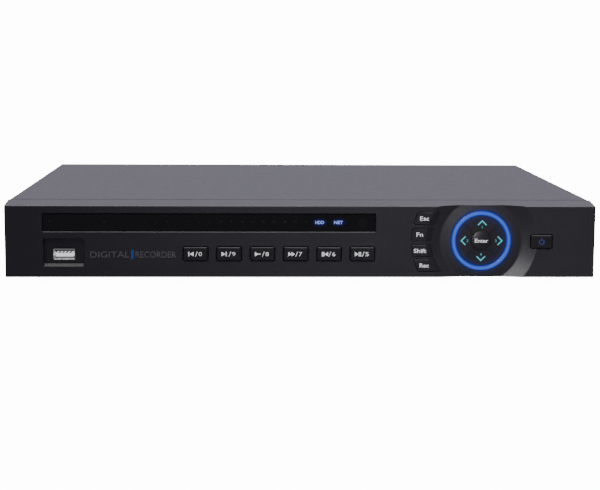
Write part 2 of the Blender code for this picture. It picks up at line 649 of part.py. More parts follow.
def bezier(start, first, second, end, steps):
    """Points on a cubic curve in a plane."""
    controls = [Vector(point) for point in (start, first, second, end)]
    points = []
    for i in range(steps + 1):
        t = i / steps
        weights = ((1 - t) ** 3, 3 * t * (1 - t) ** 2, 3 * t**2 * (1 - t), t**3)
        point = sum((w * p for w, p in zip(weights, controls)), Vector((0.0, 0.0)))
        points.append(tuple(point))
    return points


def flat_cable(path, x_range, thickness):
    """A flat cable that follows a (y, z) path at one width."""
    sides = ([], [])
    for i, (y, z) in enumerate(path):
        before = path[max(i - 1, 0)]
        after = path[min(i + 1, len(path) - 1)]
        along = Vector((after[0] - before[0], after[1] - before[1])).normalized()
        for side, sign in zip(sides, (1, -1)):
            side.append((y - sign * along[1] * thickness / 2, z + sign * along[0] * thickness / 2))
    return prism(sides[0] + sides[1][::-1], "X", *x_range)


def make_cables(data_red, wire_black, ribbon_grey):
    drive_back = DRIVE_LOW[1] + DRIVE_SIZE[1]
    plug_top = BOARD_TOP + 8.0 + GAP
    for name, x_range, finish, thickness in (
        ("sata_cable", DATA_PLUG_X, data_red, 1.4),
        ("disk_power_cable", POWER_PLUG_X, wire_black, 1.8),
    ):
        inner = (x_range[0] + 1.0, x_range[1] - 1.0)
        start, away = (drive_back + GAP, 15.0), (drive_back + 13.0, 15.0)
        path = bezier(start, away, (PLUG_Y, plug_top + 18.0), (PLUG_Y, plug_top), 12)
        cable = flat_cable(path, inner, thickness)
        drive_plug = block((x_range[0], drive_back + GAP, 12.4), (x_range[1], drive_back + 5.5, 17.6))
        piece(joined(cable, drive_plug), name, finish)
    start_y = depth_y(KEY_BOARD_DEPTH[1]) + 1.2 + GAP
    path = bezier((start_y, 22.5), (start_y + 22.0, 22.5), (-112.0, 9.0), (-88.0, 9.0), 10)
    path += bezier((8.0, 9.0), (26.0, 9.0), (24.0, 24.0), (33.0, 26.0), 8)
    path += bezier((36.0, 26.5), (44.0, 27.0), (PLUG_Y, 24.0), (PLUG_Y, plug_top), 8)
    piece(flat_cable(path, (RIBBON_X[0] + 1.0, RIBBON_X[1] - 1.0), 0.9), "front_ribbon", ribbon_grey)


def make_mainboard(laminate):
    board = block((BOARD_X[0], BOARD_Y[0], BOARD_Z), (BOARD_X[1], BOARD_Y[1], BOARD_TOP))
    base = BOARD_TOP - 0.1
    additions = [
        block((x0, PLUG_Y - 3.0, base), (x1, PLUG_Y + 3.0, BOARD_TOP + 8.0))
        for x0, x1 in (DATA_PLUG_X, POWER_PLUG_X, RIBBON_X)
    ]
    for x, y, side in ((-120.0, 62.0, 14.0), (-98.0, 62.0, 14.0), (-10.0, 66.0, 18.0), (16.0, 66.0, 12.0)):
        half = side / 2
        additions.append(block((x - half, y - half, base), (x + half, y + half, BOARD_TOP + 1.4)))
    for i in range(4):
        additions.append(rod((70.0 + 10.0 * i, 48.0, 0.0), 3.4, base, BOARD_TOP + 11.0, "Z", 8))
    for i in range(3):
        x = 72.0 + 13.0 * i
        additions.append(block((x - 5.0, 58.0, base), (x + 5.0, 68.0, BOARD_TOP + 4.5)))
    additions.append(rod((-150.0, 60.0, 0.0), 12.0, base, BOARD_TOP + 2.0, "Z", 16))
    joined(board, *additions)
    cell_seat = rod((-150.0, 60.0, 0.0), 10.4, BOARD_TOP + 0.6, BOARD_TOP + 5.0, "Z", 16)
    piece(cut(board, cell_seat), "mainboard", laminate)
    return (-150.0, 60.0, BOARD_TOP + 0.6 + GAP)


def make_coin_cell(steel, seat):
    profile = [(0.0, 0.0), (0.0, 9.2), (0.6, 10.0), (3.2, 10.0), (3.2, 0.0)]
    piece(turned(profile, seat, "Z", 12), "coin_cell", steel)


def make_heat_sink(aluminium):
    """A finned block over the main processor."""
    x0, y0, z0, side = -75.0, 58.0, BOARD_TOP + 2.0, 40.0
    sink = block((x0, y0, z0), (x0 + side, y0 + side, z0 + 14.0))
    grooves = []
    for i in range(8):
        x = x0 + 2.6 + i * 4.6
        grooves.append(block((x, y0 - 1, z0 + 3.0), (x + 2.8, y0 + side + 1, z0 + 15.0)))
    piece(cut(sink, *grooves), "heat_sink", aluminium)


def make_hard_drive(aluminium):
    x0, y0, z0 = DRIVE_LOW
    width, length, height = DRIVE_SIZE
    drive = block((x0, y0, z0), (x0 + width, y0 + length, z0 + height - 1.2))
    lid_outline = rounded((x0 + width / 2, y0 + length / 2), (width - 5.0, length - 6.0), 5.0, 3)
    joined(drive, prism(lid_outline, "Z", z0 + height - 2.0, z0 + height))
    recess = rod((x0 + width / 2, y0 + length * 0.6, z0), 40.0, height - 0.6, height + 1.0, "Z", 16)
    underside = block((x0 + 4.0, y0 + 12.0, z0 - 1), (x0 + width - 4.0, y0 + length - 4.0, z0 + 9.0))
    posts = [
        rod((x, y, z0), 6.5, 0.0, 9.5, "Z", 8)
        for x in (x0 + 8.0, x0 + width - 8.0)
        for y in (y0 + 28.0, y0 + 120.0)
    ]
    piece(joined(cut(drive, recess, underside), *posts), "hard_drive", aluminium)


def make_fan(frame_plastic, rotor_plastic):
    y1 = REAR_Y - SHEET - GAP
    y0 = y1 - FAN_DEPTH
    centre = (FAN_X, y0, FAN_Z)
    frame = prism(rounded((FAN_X, FAN_Z), (FAN_SIZE, FAN_SIZE), 2.5), "Y", y0, y1)
    cut(frame, rod(centre, 19.0, -1.0, FAN_DEPTH + 1.0, "Y", 24))
    spokes = [rod(centre, 9.0, 0.0, 2.4, "Y", 16), rod(centre, 1.5, 2.0, 14.0, "Y", 10)]
    for i in range(3):
        angle = math.radians(90 + 120 * i)
        reach = Vector((math.cos(angle), 0.0, math.sin(angle)))
        across = Vector((-reach.z, 0.0, reach.x)) * 1.2
        inner, outer = reach * 7.0, reach * 19.6
        outline = [inner + across, inner - across, outer - across, outer + across]
        spokes.append(prism([(FAN_X + p.x, FAN_Z + p.z) for p in outline], "Y", y0, y0 + 2.4))
    holes = []
    for x in (-16.0, 16.0):
        for z in (-16.0, 16.0):
            holes.append(rod((FAN_X + x, y0, FAN_Z + z), 1.8, -1.0, FAN_DEPTH + 1.0, "Y", 6))
    piece(cut(joined(frame, *spokes), *holes), "fan_frame", frame_plastic)
    hub = turned([(3.0, 0.0), (3.0, 9.0), (17.0, 9.0), (17.6, 8.2), (17.6, 0.0)], centre, "Y", 16)
    blades = []
    for i in range(7):
        outline = [(-4.4, 4.0), (-3.4, 3.4), (4.8, 14.6), (3.8, 15.2)]
        work = bmesh.new()
        ends = []
        for radius in (8.0, 18.0):
            ends.append([work.verts.new((across, along, radius)) for across, along in outline])
        work.faces.new(ends[0])
        work.faces.new(ends[1][::-1])
        for k in range(4):
            j = (k + 1) % 4
            work.faces.new((ends[0][k], ends[1][k], ends[1][j], ends[0][j]))
        turn = Matrix.Rotation(2 * math.pi * i / 7, 4, "Y")
        bmesh.ops.transform(work, matrix=Matrix.Translation(centre) @ turn, verts=work.verts)
        blades.append(helper(work))
    joined(hub, *blades)
    bore = rod(centre, 1.75, 2.0, 15.0, "Y", 10)
    piece(cut(hub, bore), "fan_rotor", rotor_plastic, (FAN_X, y0 + FAN_DEPTH / 2, FAN_Z))


# Rear connectors


def make_video_block(nickel):
    """Sixteen bayonet sockets in one moulded housing, open below."""
    y_back, y_front = 112.0, REAR_Y - SHEET - GAP
    low = (VIDEO_X[0] - 7.0, y_back, BOARD_TOP + GAP)
    high = (VIDEO_X[-1] + 7.0, y_front, VIDEO_Z[1] + 7.0)
    hollow = block((low[0] + 2.0, low[1] + 2.0, low[2] - 1.0), (high[0] - 2.0, high[1] - 3.0, high[2] - 2.0))
    body = cut(block(low, high), hollow)
    tip = TIP_Y - y_front
    profile = [(-0.5, 0.0), (-0.5, 4.8), (tip, 4.8), (tip, 4.0), (tip - 8.0, 4.0), (tip - 8.0, 1.0)]
    profile += [(tip - 2.4, 1.0), (tip - 2.4, 0.0)]
    barrels = []
    for z in VIDEO_Z:
        for x in VIDEO_X:
            barrels.append(turned(profile, (x, y_front, z), "Y", 10))
            for side in (-1, 1):
                edges = sorted((x + side * 4.4, x + side * 5.7))
                barrels.append(block((edges[0], TIP_Y - 3.6, z - 0.9), (edges[1], TIP_Y - 1.7, z + 0.9)))
    piece(joined(body, *barrels), "video_input_block", nickel)


def make_audio_block(plastic):
    y_front = REAR_Y - SHEET - GAP
    body = block((AUDIO_X[0] - 6.6, 116.0, BOARD_TOP + GAP), (AUDIO_X[1] + 6.6, y_front, VIDEO_Z[1] + 6.6))
    profile = [(-0.5, 0.0), (-0.5, 4.15), (9.8, 4.15), (9.8, 3.3), (3.5, 3.3), (3.5, 2.3), (9.3, 2.3)]
    profile += [(9.3, 1.7), (1.5, 1.7), (1.5, 0.0)]
    barrels = [turned(profile, (x, y_front, z), "Y", 12) for z in VIDEO_Z for x in AUDIO_X]
    piece(joined(body, *barrels), "audio_block", plastic)


def taper_outline(top_half, bottom_half, half_height):
    """The (x, z) outline of the VGA shell, wider at its top."""
    return [
        (VGA_X - top_half, VGA_Z + half_height),
        (VGA_X + top_half, VGA_Z + half_height),
        (VGA_X + bottom_half, VGA_Z - half_height),
        (VGA_X - bottom_half, VGA_Z - half_height),
    ]


def make_vga_port(metal):
    y0 = REAR_Y - SHEET - GAP - 12.0
    flange_y = REAR_Y + GAP
    body = block((VGA_X - 9.5, y0, BOARD_TOP + GAP), (VGA_X + 9.5, flange_y, VGA_Z + 6.0))
    flange = slab((VGA_X, VGA_Z), (30.8, 12.5), flange_y - 1.2, flange_y)
    shell = prism(taper_outline(8.2, 7.0, 4.1), "Y", flange_y - 0.5, flange_y + 5.8)
    posts = [rod((VGA_X + x, flange_y, VGA_Z), 2.6, -0.5, 4.8, "Y", 6) for x in (-12.5, 12.5)]
    joined(body, flange, shell, *posts)
    holes = [rod((VGA_X + x, flange_y, VGA_Z), 1.4, 1.0, 6.0, "Y", 8) for x in (-12.5, 12.5)]
    holes.append(prism(taper_outline(7.7, 6.6, 3.7), "Y", flange_y + 4.6, flange_y + 7.0))
    for dz, shift in ((2.0, 0.0), (0.0, 0.65), (-2.0, 0.0)):
        for i in range(5):
            centre = (VGA_X - 4.6 + shift + 2.3 * i, VGA_Z + dz)
            holes.append(slab(centre, (0.9, 0.9), flange_y + 1.5, flange_y + 5.0))
    piece(cut(body, *holes), "vga_port", metal)


def make_hdmi_port(metal):
    y0, y1 = REAR_Y - 12.0, CONNECTOR_FACE_Y
    z0 = BOARD_TOP + GAP
    right = [(HDMI_X + 7.5, z0 + 5.9), (HDMI_X + 7.5, z0 + 2.2), (HDMI_X + 5.6, z0)]
    outline = right + [(2 * HDMI_X - x, z) for x, z in reversed(right)]
    body = prism(outline, "Y", y0, y1)
    middle = (HDMI_X, z0 + 3.1)
    inner = [(middle[0] + (x - middle[0]) * 0.93, middle[1] + (z - middle[1]) * 0.84) for x, z in outline]
    cavity = prism(inner, "Y", y1 - 8.0, y1 + 1.0)
    cut(body, cavity)
    tongue = slab((HDMI_X, middle[1] + 0.2), (10.6, 1.2), y1 - 9.0, y1 - 1.2)
    piece(joined(body, tongue), "hdmi_port", metal)


def make_lan_port(metal):
    y1 = CONNECTOR_FACE_Y
    z0 = BOARD_TOP + GAP
    body = block((LAN_X - 8.0, y1 - 21.3, z0), (LAN_X + 8.0, y1, z0 + 13.5))
    mouth = block((LAN_X - 5.9, y1 - 12.5, z0 + 3.4), (LAN_X + 5.9, y1 + 1, z0 + 11.6))
    latch = block((LAN_X - 3.2, y1 - 8.0, z0 + 1.2), (LAN_X + 3.2, y1 + 1, z0 + 4.0))
    piece(cut(body, mouth, latch), "lan_port", metal)


def make_rear_usb(metal):
    y1 = CONNECTOR_FACE_Y
    z0 = BOARD_TOP + GAP
    body = block((USB_REAR_X - 7.25, y1 - 17.5, z0), (USB_REAR_X + 7.25, y1, z0 + 15.8))
    mouths, tongues = [], []
    for level in (4.1, 11.6):
        centre = (USB_REAR_X, z0 + level)
        mouths.append(slab(centre, (12.6, 5.2), y1 - 11.0, y1 + 1))
        tongues.append(slab((centre[0], centre[1] + 0.9), (11.0, 1.9), y1 - 12.0, y1 - 1.0))
    piece(joined(cut(body, *mouths), *tongues), "rear_usb_port", metal)


def make_terminal_block(plastic):
    """A pluggable strip with a row of wire holes behind and a row of clamp screws on top."""
    x0, x1 = TERMINAL_X
    z0 = BOARD_TOP + GAP
    y1 = REAR_Y + 7.0
    body = block((x0, y1 - 20.0, z0), (x1, y1, z0 + 11.0))
    step = block((x0 - 1, y1 - 3.0, z0 + 8.0), (x1 + 1, y1 + 1, z0 + 12.0))
    holes = []
    for i in range(10):
        x = x0 + TERMINAL_PITCH * (i + 0.5)
        holes.append(slab((x, z0 + 4.4), (2.4, 3.0), y1 - 4.0, y1 + 1))
        holes.append(rod((x, y1 - 5.2, z0 + 11.0), 1.3, -1.4, 1.0, "Z", 8))
    piece(cut(body, step, *holes), "terminal_block", plastic)


def make_dc_jack(plastic):
    y1 = CONNECTOR_FACE_Y
    z0 = BOARD_TOP + GAP
    body = block((JACK_X - 4.5, y1 - 14.2, z0), (JACK_X + 4.5, y1, z0 + 11.0))
    ring = turned([(-9.5, 1.05), (1.0, 1.05), (1.0, 3.2), (-9.5, 3.2)], (JACK_X, y1, z0 + 6.4), "Y", 16)
    flush = rod((JACK_X, y1, z0 + 6.4), 2.0, -1.0, 1.0, "Y", 16)
    piece(cut(body, ring, flush), "dc_jack", plastic)


def make_power_switch(plastic, rocker_plastic):
    outer_y = REAR_Y + GAP
    centre = (SWITCH_X, SWITCH_Z)
    body = slab(centre, (12.4, 18.4), outer_y - 14.0, outer_y + 0.5)
    bezel = prism(rounded(centre, (15.0, 21.0), 1.2), "Y", outer_y, outer_y + 1.5)
    tabs = [slab((SWITCH_X, SWITCH_Z + z), (4.8, 0.8), outer_y - 21.0, outer_y - 13.5) for z in (-5.0, 5.0)]
    joined(body, bezel, *tabs)
    cavity = slab(centre, (9.8, 16.4), outer_y - 9.5, outer_y + 3.0)
    pivots = rod((SWITCH_X, SWITCH_PIVOT_Y, SWITCH_Z), 1.25, -5.9, 5.9, "X", 12)
    piece(cut(body, cavity, pivots), "power_switch_frame", plastic)
    lean = math.radians(SWITCH_REST)
    outline = []
    for y, z in ((-2.6, -5.4), (2.6, -7.2), (1.5, 0.0), (2.6, 7.2), (-2.6, 5.4)):
        outline.append(
            (
                SWITCH_PIVOT_Y + y * math.cos(lean) - z * math.sin(lean),
                SWITCH_Z + y * math.sin(lean) + z * math.cos(lean),
            )
        )
    rocker = prism(outline, "X", SWITCH_X - 4.5, SWITCH_X + 4.5)
    pivot = (SWITCH_X, SWITCH_PIVOT_Y, SWITCH_Z)
    piece(joined(rocker, rod(pivot, 1.0, -5.6, 5.6, "X", 12)), "power_rocker", rocker_plastic, pivot)


def main():
    for obj in list(bpy.data.objects):
        bpy.data.objects.remove(obj)
    painted = material("black_painted_steel", (0.030, 0.029, 0.034), 0.5, 0.3)
    zinc = material("zinc_plated_steel", (0.55, 0.56, 0.57), 0.35, 1.0)
    fascia_black = material("black_moulding", (0.020, 0.020, 0.024), 0.55)
    key_black = material("key_moulding", (0.014, 0.014, 0.016), 0.5)
    smoked = material("smoked_acrylic", (0.004, 0.004, 0.006), 0.12)
    lit_blue = material("lit_blue", (0.10, 0.25, 0.85), 0.4, 0.0, 1.5)
    rubber = material("foot_rubber", (0.015, 0.015, 0.015), 0.85)
    nickel = material("nickel_plate", (0.60, 0.58, 0.54), 0.25, 1.0)
    white = material("white_nylon", (0.80, 0.80, 0.78), 0.5)
    laminate = material("green_laminate", (0.02, 0.12, 0.05), 0.45)
    aluminium = material("aluminium", (0.70, 0.70, 0.70), 0.4, 1.0)
    dark_plastic = material("dark_plastic", (0.02, 0.02, 0.02), 0.6)
    green_plastic = material("green_plastic", (0.03, 0.30, 0.08), 0.5)
    red_cable = material("red_cable", (0.55, 0.02, 0.02), 0.5)
    grey_cable = material("grey_cable", (0.35, 0.35, 0.36), 0.6)

    make_top_cover(painted)
    make_bottom_chassis(painted)
    make_rear_panel(painted)
    make_feet(rubber)
    make_case_screws(zinc)

    make_fascia(fascia_black)
    make_window(smoked)
    make_indicator_shroud(dark_plastic)
    make_ir_receiver(dark_plastic)
    make_light_ring(lit_blue)
    make_pad_keys(key_black)
    make_side_keys(key_black)
    make_front_keys(key_black)
    make_front_usb(nickel, white)
    make_key_board(laminate)

    cell_seat = make_mainboard(laminate)
    make_coin_cell(zinc, cell_seat)
    make_heat_sink(aluminium)
    make_hard_drive(aluminium)
    make_cables(red_cable, dark_plastic, grey_cable)
    make_fan(dark_plastic, dark_plastic)

    make_video_block(nickel)
    make_audio_block(dark_plastic)
    make_vga_port(nickel)
    make_hdmi_port(nickel)
    make_lan_port(nickel)
    make_rear_usb(nickel)
    make_terminal_block(green_plastic)
    make_dc_jack(dark_plastic)
    make_power_switch(dark_plastic, key_black)


main()
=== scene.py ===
"""The finished looks of the DVR recorder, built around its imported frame.

Shapes are made in millimetres and become metres in piece(). Depths are measured back from the fascia's
front face. X runs to the right seen from the front, Y to the back and Z up.
"""

import math

import bmesh
import bpy
from mathutils import Matrix, Vector


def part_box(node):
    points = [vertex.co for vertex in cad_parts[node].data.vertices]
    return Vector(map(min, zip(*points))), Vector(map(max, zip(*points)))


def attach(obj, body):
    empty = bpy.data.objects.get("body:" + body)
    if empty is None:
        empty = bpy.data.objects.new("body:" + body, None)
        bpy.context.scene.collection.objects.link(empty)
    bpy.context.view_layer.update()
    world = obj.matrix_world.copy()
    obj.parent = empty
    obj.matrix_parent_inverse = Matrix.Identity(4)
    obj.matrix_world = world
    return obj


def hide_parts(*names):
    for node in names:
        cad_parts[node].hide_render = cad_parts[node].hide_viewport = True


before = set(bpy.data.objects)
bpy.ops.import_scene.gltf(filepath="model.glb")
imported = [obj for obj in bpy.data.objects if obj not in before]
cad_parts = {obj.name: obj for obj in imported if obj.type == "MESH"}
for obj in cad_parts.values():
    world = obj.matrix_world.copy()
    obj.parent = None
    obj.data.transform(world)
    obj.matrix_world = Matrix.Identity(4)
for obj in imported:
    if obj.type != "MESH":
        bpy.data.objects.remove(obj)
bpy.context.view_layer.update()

MM = 0.001
SHEET = 1.0
GAP = 0.3
INK = 0.02  # how far lettering stands out of what it is printed on


def millimetres(node):
    """The lowest and highest corner of a CAD node, in millimetres."""
    low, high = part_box(node)
    return Vector(low) / MM, Vector(high) / MM


def middle(node):
    low, high = millimetres(node)
    return (low + high) / 2


def face_middle(node):
    """The middle of a CAD node in X and Z, as it is seen from the front or back."""
    low, high = millimetres(node)
    return (low.x + high.x) / 2, (low.z + high.z) / 2


FASCIA_LOW, FASCIA_HIGH = millimetres("front_fascia")
FRONT_Y = FASCIA_LOW.y
BASE_Z = FASCIA_LOW.z
TOP_Z = FASCIA_HIGH.z
HALF_WIDTH = FASCIA_HIGH.x
FASCIA_DEPTH = 17.0
LIP_Z = TOP_Z - 2.0
DIAL_X, _, DIAL_Z = middle("enter_key")
REAR_Y = millimetres("rear_panel")[1].y

# Modelling


def linked(mesh):
    obj = bpy.data.objects.new("shape", mesh)
    bpy.context.scene.collection.objects.link(obj)
    return obj


def helper(work, merge=1e-5):
    """An object from a bmesh in millimetres, to be combined with others and finished by piece."""
    if merge:
        bmesh.ops.remove_doubles(work, verts=work.verts, dist=merge)
        bmesh.ops.recalc_face_normals(work, faces=work.faces)
    mesh = bpy.data.meshes.new("shape")
    work.to_mesh(mesh)
    work.free()
    return linked(mesh)


def loft(layers):
    """A solid through outlines of the same number of points, each a list of (x, y, z)."""
    work = bmesh.new()
    rows = [[work.verts.new(point) for point in layer] for layer in layers]
    work.faces.new(rows[0])
    work.faces.new(rows[-1][::-1])
    count = len(rows[0])
    for first, second in zip(rows, rows[1:]):
        for i in range(count):
            j = (i + 1) % count
            work.faces.new((first[i], second[i], second[j], first[j]))
    return helper(work)


def placed(outline, axis, along):
    """An outline's points in space: (y, z) for X, (x, z) for Y and (x, y) for Z."""
    if axis == "X":
        return [(along, a, b) for a, b in outline]
    if axis == "Y":
        return [(a, along, b) for a, b in outline]
    return [(a, b, along) for a, b in outline]


def prism(outline, axis, start, end):
    return loft([placed(outline, axis, start), placed(outline, axis, end)])


def block(low, high):
    outline = [(low[0], low[2]), (high[0], low[2]), (high[0], high[2]), (low[0], high[2])]
    return prism(outline, "Y", low[1], high[1])


def slab(centre, size, y0, y1):
    """A box facing the front or back: centre and size in X and Z, and its two Y faces."""
    (x, z), (width, height) = centre, size
    return block((x - width / 2, y0, z - height / 2), (x + width / 2, y1, z + height / 2))


def rounded(centre, size, radius, steps=6):
    """The outline of a rectangle with round corners."""
    outline = []
    for corner, (sx, sz) in enumerate(((1, 1), (-1, 1), (-1, -1), (1, -1))):
        cx = centre[0] + sx * (size[0] / 2 - radius)
        cz = centre[1] + sz * (size[1] / 2 - radius)
        for i in range(steps + 1):
            angle = math.radians(90 * corner + 90 * i / steps)
            outline.append((cx + radius * math.cos(angle), cz + radius * math.sin(angle)))
    return outline


def arc(centre, radius, start, end, steps):
    """Points on an arc between two angles in degrees."""
    angles = [math.radians(start + (end - start) * i / steps) for i in range(steps + 1)]
    return [(centre[0] + radius * math.cos(t), centre[1] + radius * math.sin(t)) for t in angles]


def turned(profile, centre, axis="Y", steps=64):
    """A profile of (along, radius) points turned about an axis; off the axis it closes into a ring."""
    centre = Vector(centre)
    spread = {"X": (1, 2, 0), "Y": (0, 2, 1), "Z": (0, 1, 2)}[axis]
    work = bmesh.new()
    rows = []
    for along, radius in profile:
        row = []
        for i in range(1 if radius == 0.0 else steps):
            angle = 2 * math.pi * i / steps
            offset = Vector((0.0, 0.0, 0.0))
            offset[spread[0]] = radius * math.cos(angle)
            offset[spread[1]] = radius * math.sin(angle)
            offset[spread[2]] = along
            row.append(work.verts.new(centre + offset))
        rows.append(row * steps if radius == 0.0 else row)
    solid = profile[0][1] == 0.0 and profile[-1][1] == 0.0
    for first, second in list(zip(rows, rows[1:])) + ([] if solid else [(rows[-1], rows[0])]):
        for i in range(steps):
            j = (i + 1) % steps
            work.faces.new(list(dict.fromkeys((first[i], first[j], second[j], second[i]))))
    return helper(work)


def rod(centre, radius, start, end, axis="Y", steps=32):
    return turned([(start, 0.0), (start, radius), (end, radius), (end, 0.0)], centre, axis, steps)


def applied(obj):
    """Turns an object's modifiers into its mesh."""
    graph = bpy.context.evaluated_depsgraph_get()
    mesh = bpy.data.meshes.new_from_object(obj.evaluated_get(graph))
    obj.modifiers.clear()
    obj.data = mesh
    return obj


def combine(target, helpers, operation):
    for other in helpers:
        modifier = target.modifiers.new("Combine", "BOOLEAN")
        modifier.operation = operation
        modifier.solver = "MANIFOLD"
        modifier.object = other
    applied(target)
    for other in helpers:
        bpy.data.objects.remove(other)
    return target


def cut(target, *helpers):
    return combine(target, helpers, "DIFFERENCE")


def joined(target, *helpers):
    return combine(target, helpers, "UNION")


def gathered(*parts):
    """Several shapes as one object, each still its own shell."""
    work = bmesh.new()
    for part in parts:
        work.from_mesh(part.data)
        bpy.data.objects.remove(part)
    return helper(work, merge=0.0)


def eased(obj, width, segments=2, limit=35):
    """Rounds an object's sharp edges."""
    modifier = obj.modifiers.new("Ease", "BEVEL")
    modifier.width = width
    modifier.segments = segments
    modifier.limit_method = "ANGLE"
    modifier.angle_limit = math.radians(limit)
    return applied(obj)


def piece(obj, name, finish, slot, *stands_for, body="case", smooth=35):
    """Makes a shape a finished piece, in metres, that rides on a body and may stand for a CAD node."""
    obj.name = name
    obj.data.name = name
    obj.data.transform(Matrix.Scale(MM, 4))
    obj.data.materials.clear()
    obj.data.materials.append(finish)
    obj.data.shade_smooth()
    obj.data.set_sharp_from_angle(angle=math.radians(smooth))
    weighted = obj.modifiers.new("Weighted", "WEIGHTED_NORMAL")
    weighted.keep_sharp = True
    weighted.weight = 80
    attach(obj, body)
    if stands_for:
        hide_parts(*stands_for)


def lettering(words, centre, height, y, facing=1, bold=0.0, width=None):
    """Words as a thin solid, facing the front (1) or the back (-1), scaled to a height and if given a width.

    y is the surface they lie on, or a function that gives it for a point (x, z).
    """
    curve = bpy.data.curves.new("words", "FONT")
    curve.body = words
    curve.extrude = 0.02
    curve.offset = bold
    curve.resolution_u = 3
    text = linked(curve)
    graph = bpy.context.evaluated_depsgraph_get()
    mesh = bpy.data.meshes.new_from_object(text.evaluated_get(graph))
    bpy.data.objects.remove(text)
    xs = [v.co.x for v in mesh.vertices]
    ys = [v.co.y for v in mesh.vertices]
    scale_z = height / (max(ys) - min(ys))
    scale_x = width / (max(xs) - min(xs)) if width else scale_z
    mid_x, mid_z = (max(xs) + min(xs)) / 2, (max(ys) + min(ys)) / 2
    for v in mesh.vertices:
        x = (v.co.x - mid_x) * scale_x * facing
        z = (v.co.y - mid_z) * scale_z
        level = y(centre[0] + x, centre[1] + z) if callable(y) else y
        v.co = (centre[0] + x, level - facing * (INK if v.co.z > 0 else -INK), centre[1] + z)
    work = bmesh.new()
    work.from_mesh(mesh)
    return helper(work, merge=1e-4)


def stacked(outline_at, layers, y=FRONT_Y):
    """A solid through outline_at(grow) for each (depth, grow), with depths measured back from y."""
    return loft([placed(outline_at(grow), "Y", y + depth) for depth, grow in layers])


def inked(outline, y):
    """A printed mark: an outline in (x, z) as a thin solid on a surface that faces the front."""
    return prism(outline, "Y", y - INK, y + INK)


# Materials


def set_inputs(node, **values):
    """Sets a node's inputs by their names, with an underscore for each space."""
    for socket, value in values.items():
        node.inputs[socket.replace("_", " ")].default_value = value
    return node


def add_node(nodes, kind, **values):
    return set_inputs(nodes.new("ShaderNode" + kind), **values)


def surface(name, colour, roughness, metallic=0.0, grain=0.0, relief=0.0, vary=0.0, patch=0.02):
    """A finish with fine grain as bump, and slow changes of tone and roughness over patches.

    The grain's and the patches' sizes and the relief are in metres.
    """
    made = bpy.data.materials.new(name)
    made.use_nodes = True
    nodes, links = made.node_tree.nodes, made.node_tree.links
    shader = nodes["Principled BSDF"]
    set_inputs(shader, Base_Color=(*colour, 1.0), Roughness=roughness, Metallic=metallic)
    place = nodes.new("ShaderNodeTexCoord")
    if grain:
        fine = add_node(nodes, "TexNoise", Scale=1.0 / grain, Detail=3.0)
        bump = add_node(nodes, "Bump", Distance=relief, Strength=0.6)
        links.new(place.outputs["Object"], fine.inputs["Vector"])
        links.new(fine.outputs["Fac"], bump.inputs["Height"])
        links.new(bump.outputs["Normal"], shader.inputs["Normal"])
    if vary:
        slow = add_node(nodes, "TexNoise", Scale=1.0 / patch, Detail=5.0)
        links.new(place.outputs["Object"], slow.inputs["Vector"])
        low, high = roughness * (1 - vary), roughness * (1 + vary)
        tone = add_node(nodes, "MapRange", From_Min=0.3, From_Max=0.7, To_Min=low, To_Max=high)
        links.new(slow.outputs["Fac"], tone.inputs["Value"])
        links.new(tone.outputs["Result"], shader.inputs["Roughness"])
        ramp = nodes.new("ShaderNodeValToRGB")
        ramp.color_ramp.elements[0].position = 0.3
        ramp.color_ramp.elements[1].position = 0.7
        for element, share in zip(ramp.color_ramp.elements, (1 - 0.5 * vary, 1 + 0.5 * vary)):
            element.color = (*dimmed(colour, share), 1.0)
        links.new(slow.outputs["Fac"], ramp.inputs["Fac"])
        links.new(ramp.outputs["Color"], shader.inputs["Base Color"])
    return made


def glowing(name, colour, strength, base=(0.02, 0.02, 0.02)):
    """A lit print or light guide, or a print or part that is no lamp but is given painted light: evenly lit,
    with a little mottling in its base.
    """
    made = surface(name, base, 0.4, grain=0.0006, relief=0.00001, vary=0.1)
    shader = made.node_tree.nodes["Principled BSDF"]
    set_inputs(shader, Emission_Color=(*colour, 1.0), Emission_Strength=strength)
    return made


def dimmed(colour, share):
    return tuple(channel * share for channel in colour)


def lit_by_distance(made, output, stretch, centre, span, stops):
    """Gives a finish a glow that changes with the distance from a centre, in X and Z only.

    Output names the texture coordinate, which is stretched first; stops are (share of the span, colour).
    """
    nodes, links = made.node_tree.nodes, made.node_tree.links
    shader = nodes["Principled BSDF"]
    place = nodes.new("ShaderNodeTexCoord")
    flat = nodes.new("ShaderNodeVectorMath")
    flat.operation = "MULTIPLY"
    flat.inputs[1].default_value = (stretch, 0.0, stretch)
    away = nodes.new("ShaderNodeVectorMath")
    away.operation = "DISTANCE"
    away.inputs[1].default_value = (centre[0], 0.0, centre[1])
    share = add_node(nodes, "MapRange", From_Min=span[0], From_Max=span[1])
    ramp = nodes.new("ShaderNodeValToRGB")
    while len(ramp.color_ramp.elements) < len(stops):
        ramp.color_ramp.elements.new(0.5)
    for element, (position, colour) in zip(ramp.color_ramp.elements, stops):
        element.position = position
        element.color = (*colour, 1.0)
    links.new(place.outputs[output], flat.inputs[0])
    links.new(flat.outputs["Vector"], away.inputs[0])
    links.new(away.outputs["Value"], share.inputs["Value"])
    links.new(share.outputs["Result"], ramp.inputs["Fac"])
    links.new(ramp.outputs["Color"], shader.inputs["Emission Color"])
    shader.inputs["Emission Strength"].default_value = 1.0
    return made


DIAL_PLACE = (DIAL_X * MM, DIAL_Z * MM)


def ring_glow():
    """The light guide: brightest along the middle of its width and deep blue at its edges."""
    edge, between, core = (0.002, 0.012, 0.22), (0.022, 0.075, 0.62), (0.065, 0.165, 0.72)
    stops = ((0.0, edge), (0.22, between), (0.5, core), (0.78, between), (1.0, edge))
    made = surface("ring_light", (0.01, 0.02, 0.08), 0.35, grain=0.0008, relief=0.00001, vary=0.1)
    return lit_by_distance(made, "Object", 1.0, DIAL_PLACE, (16.2 * MM, 19.2 * MM), stops)


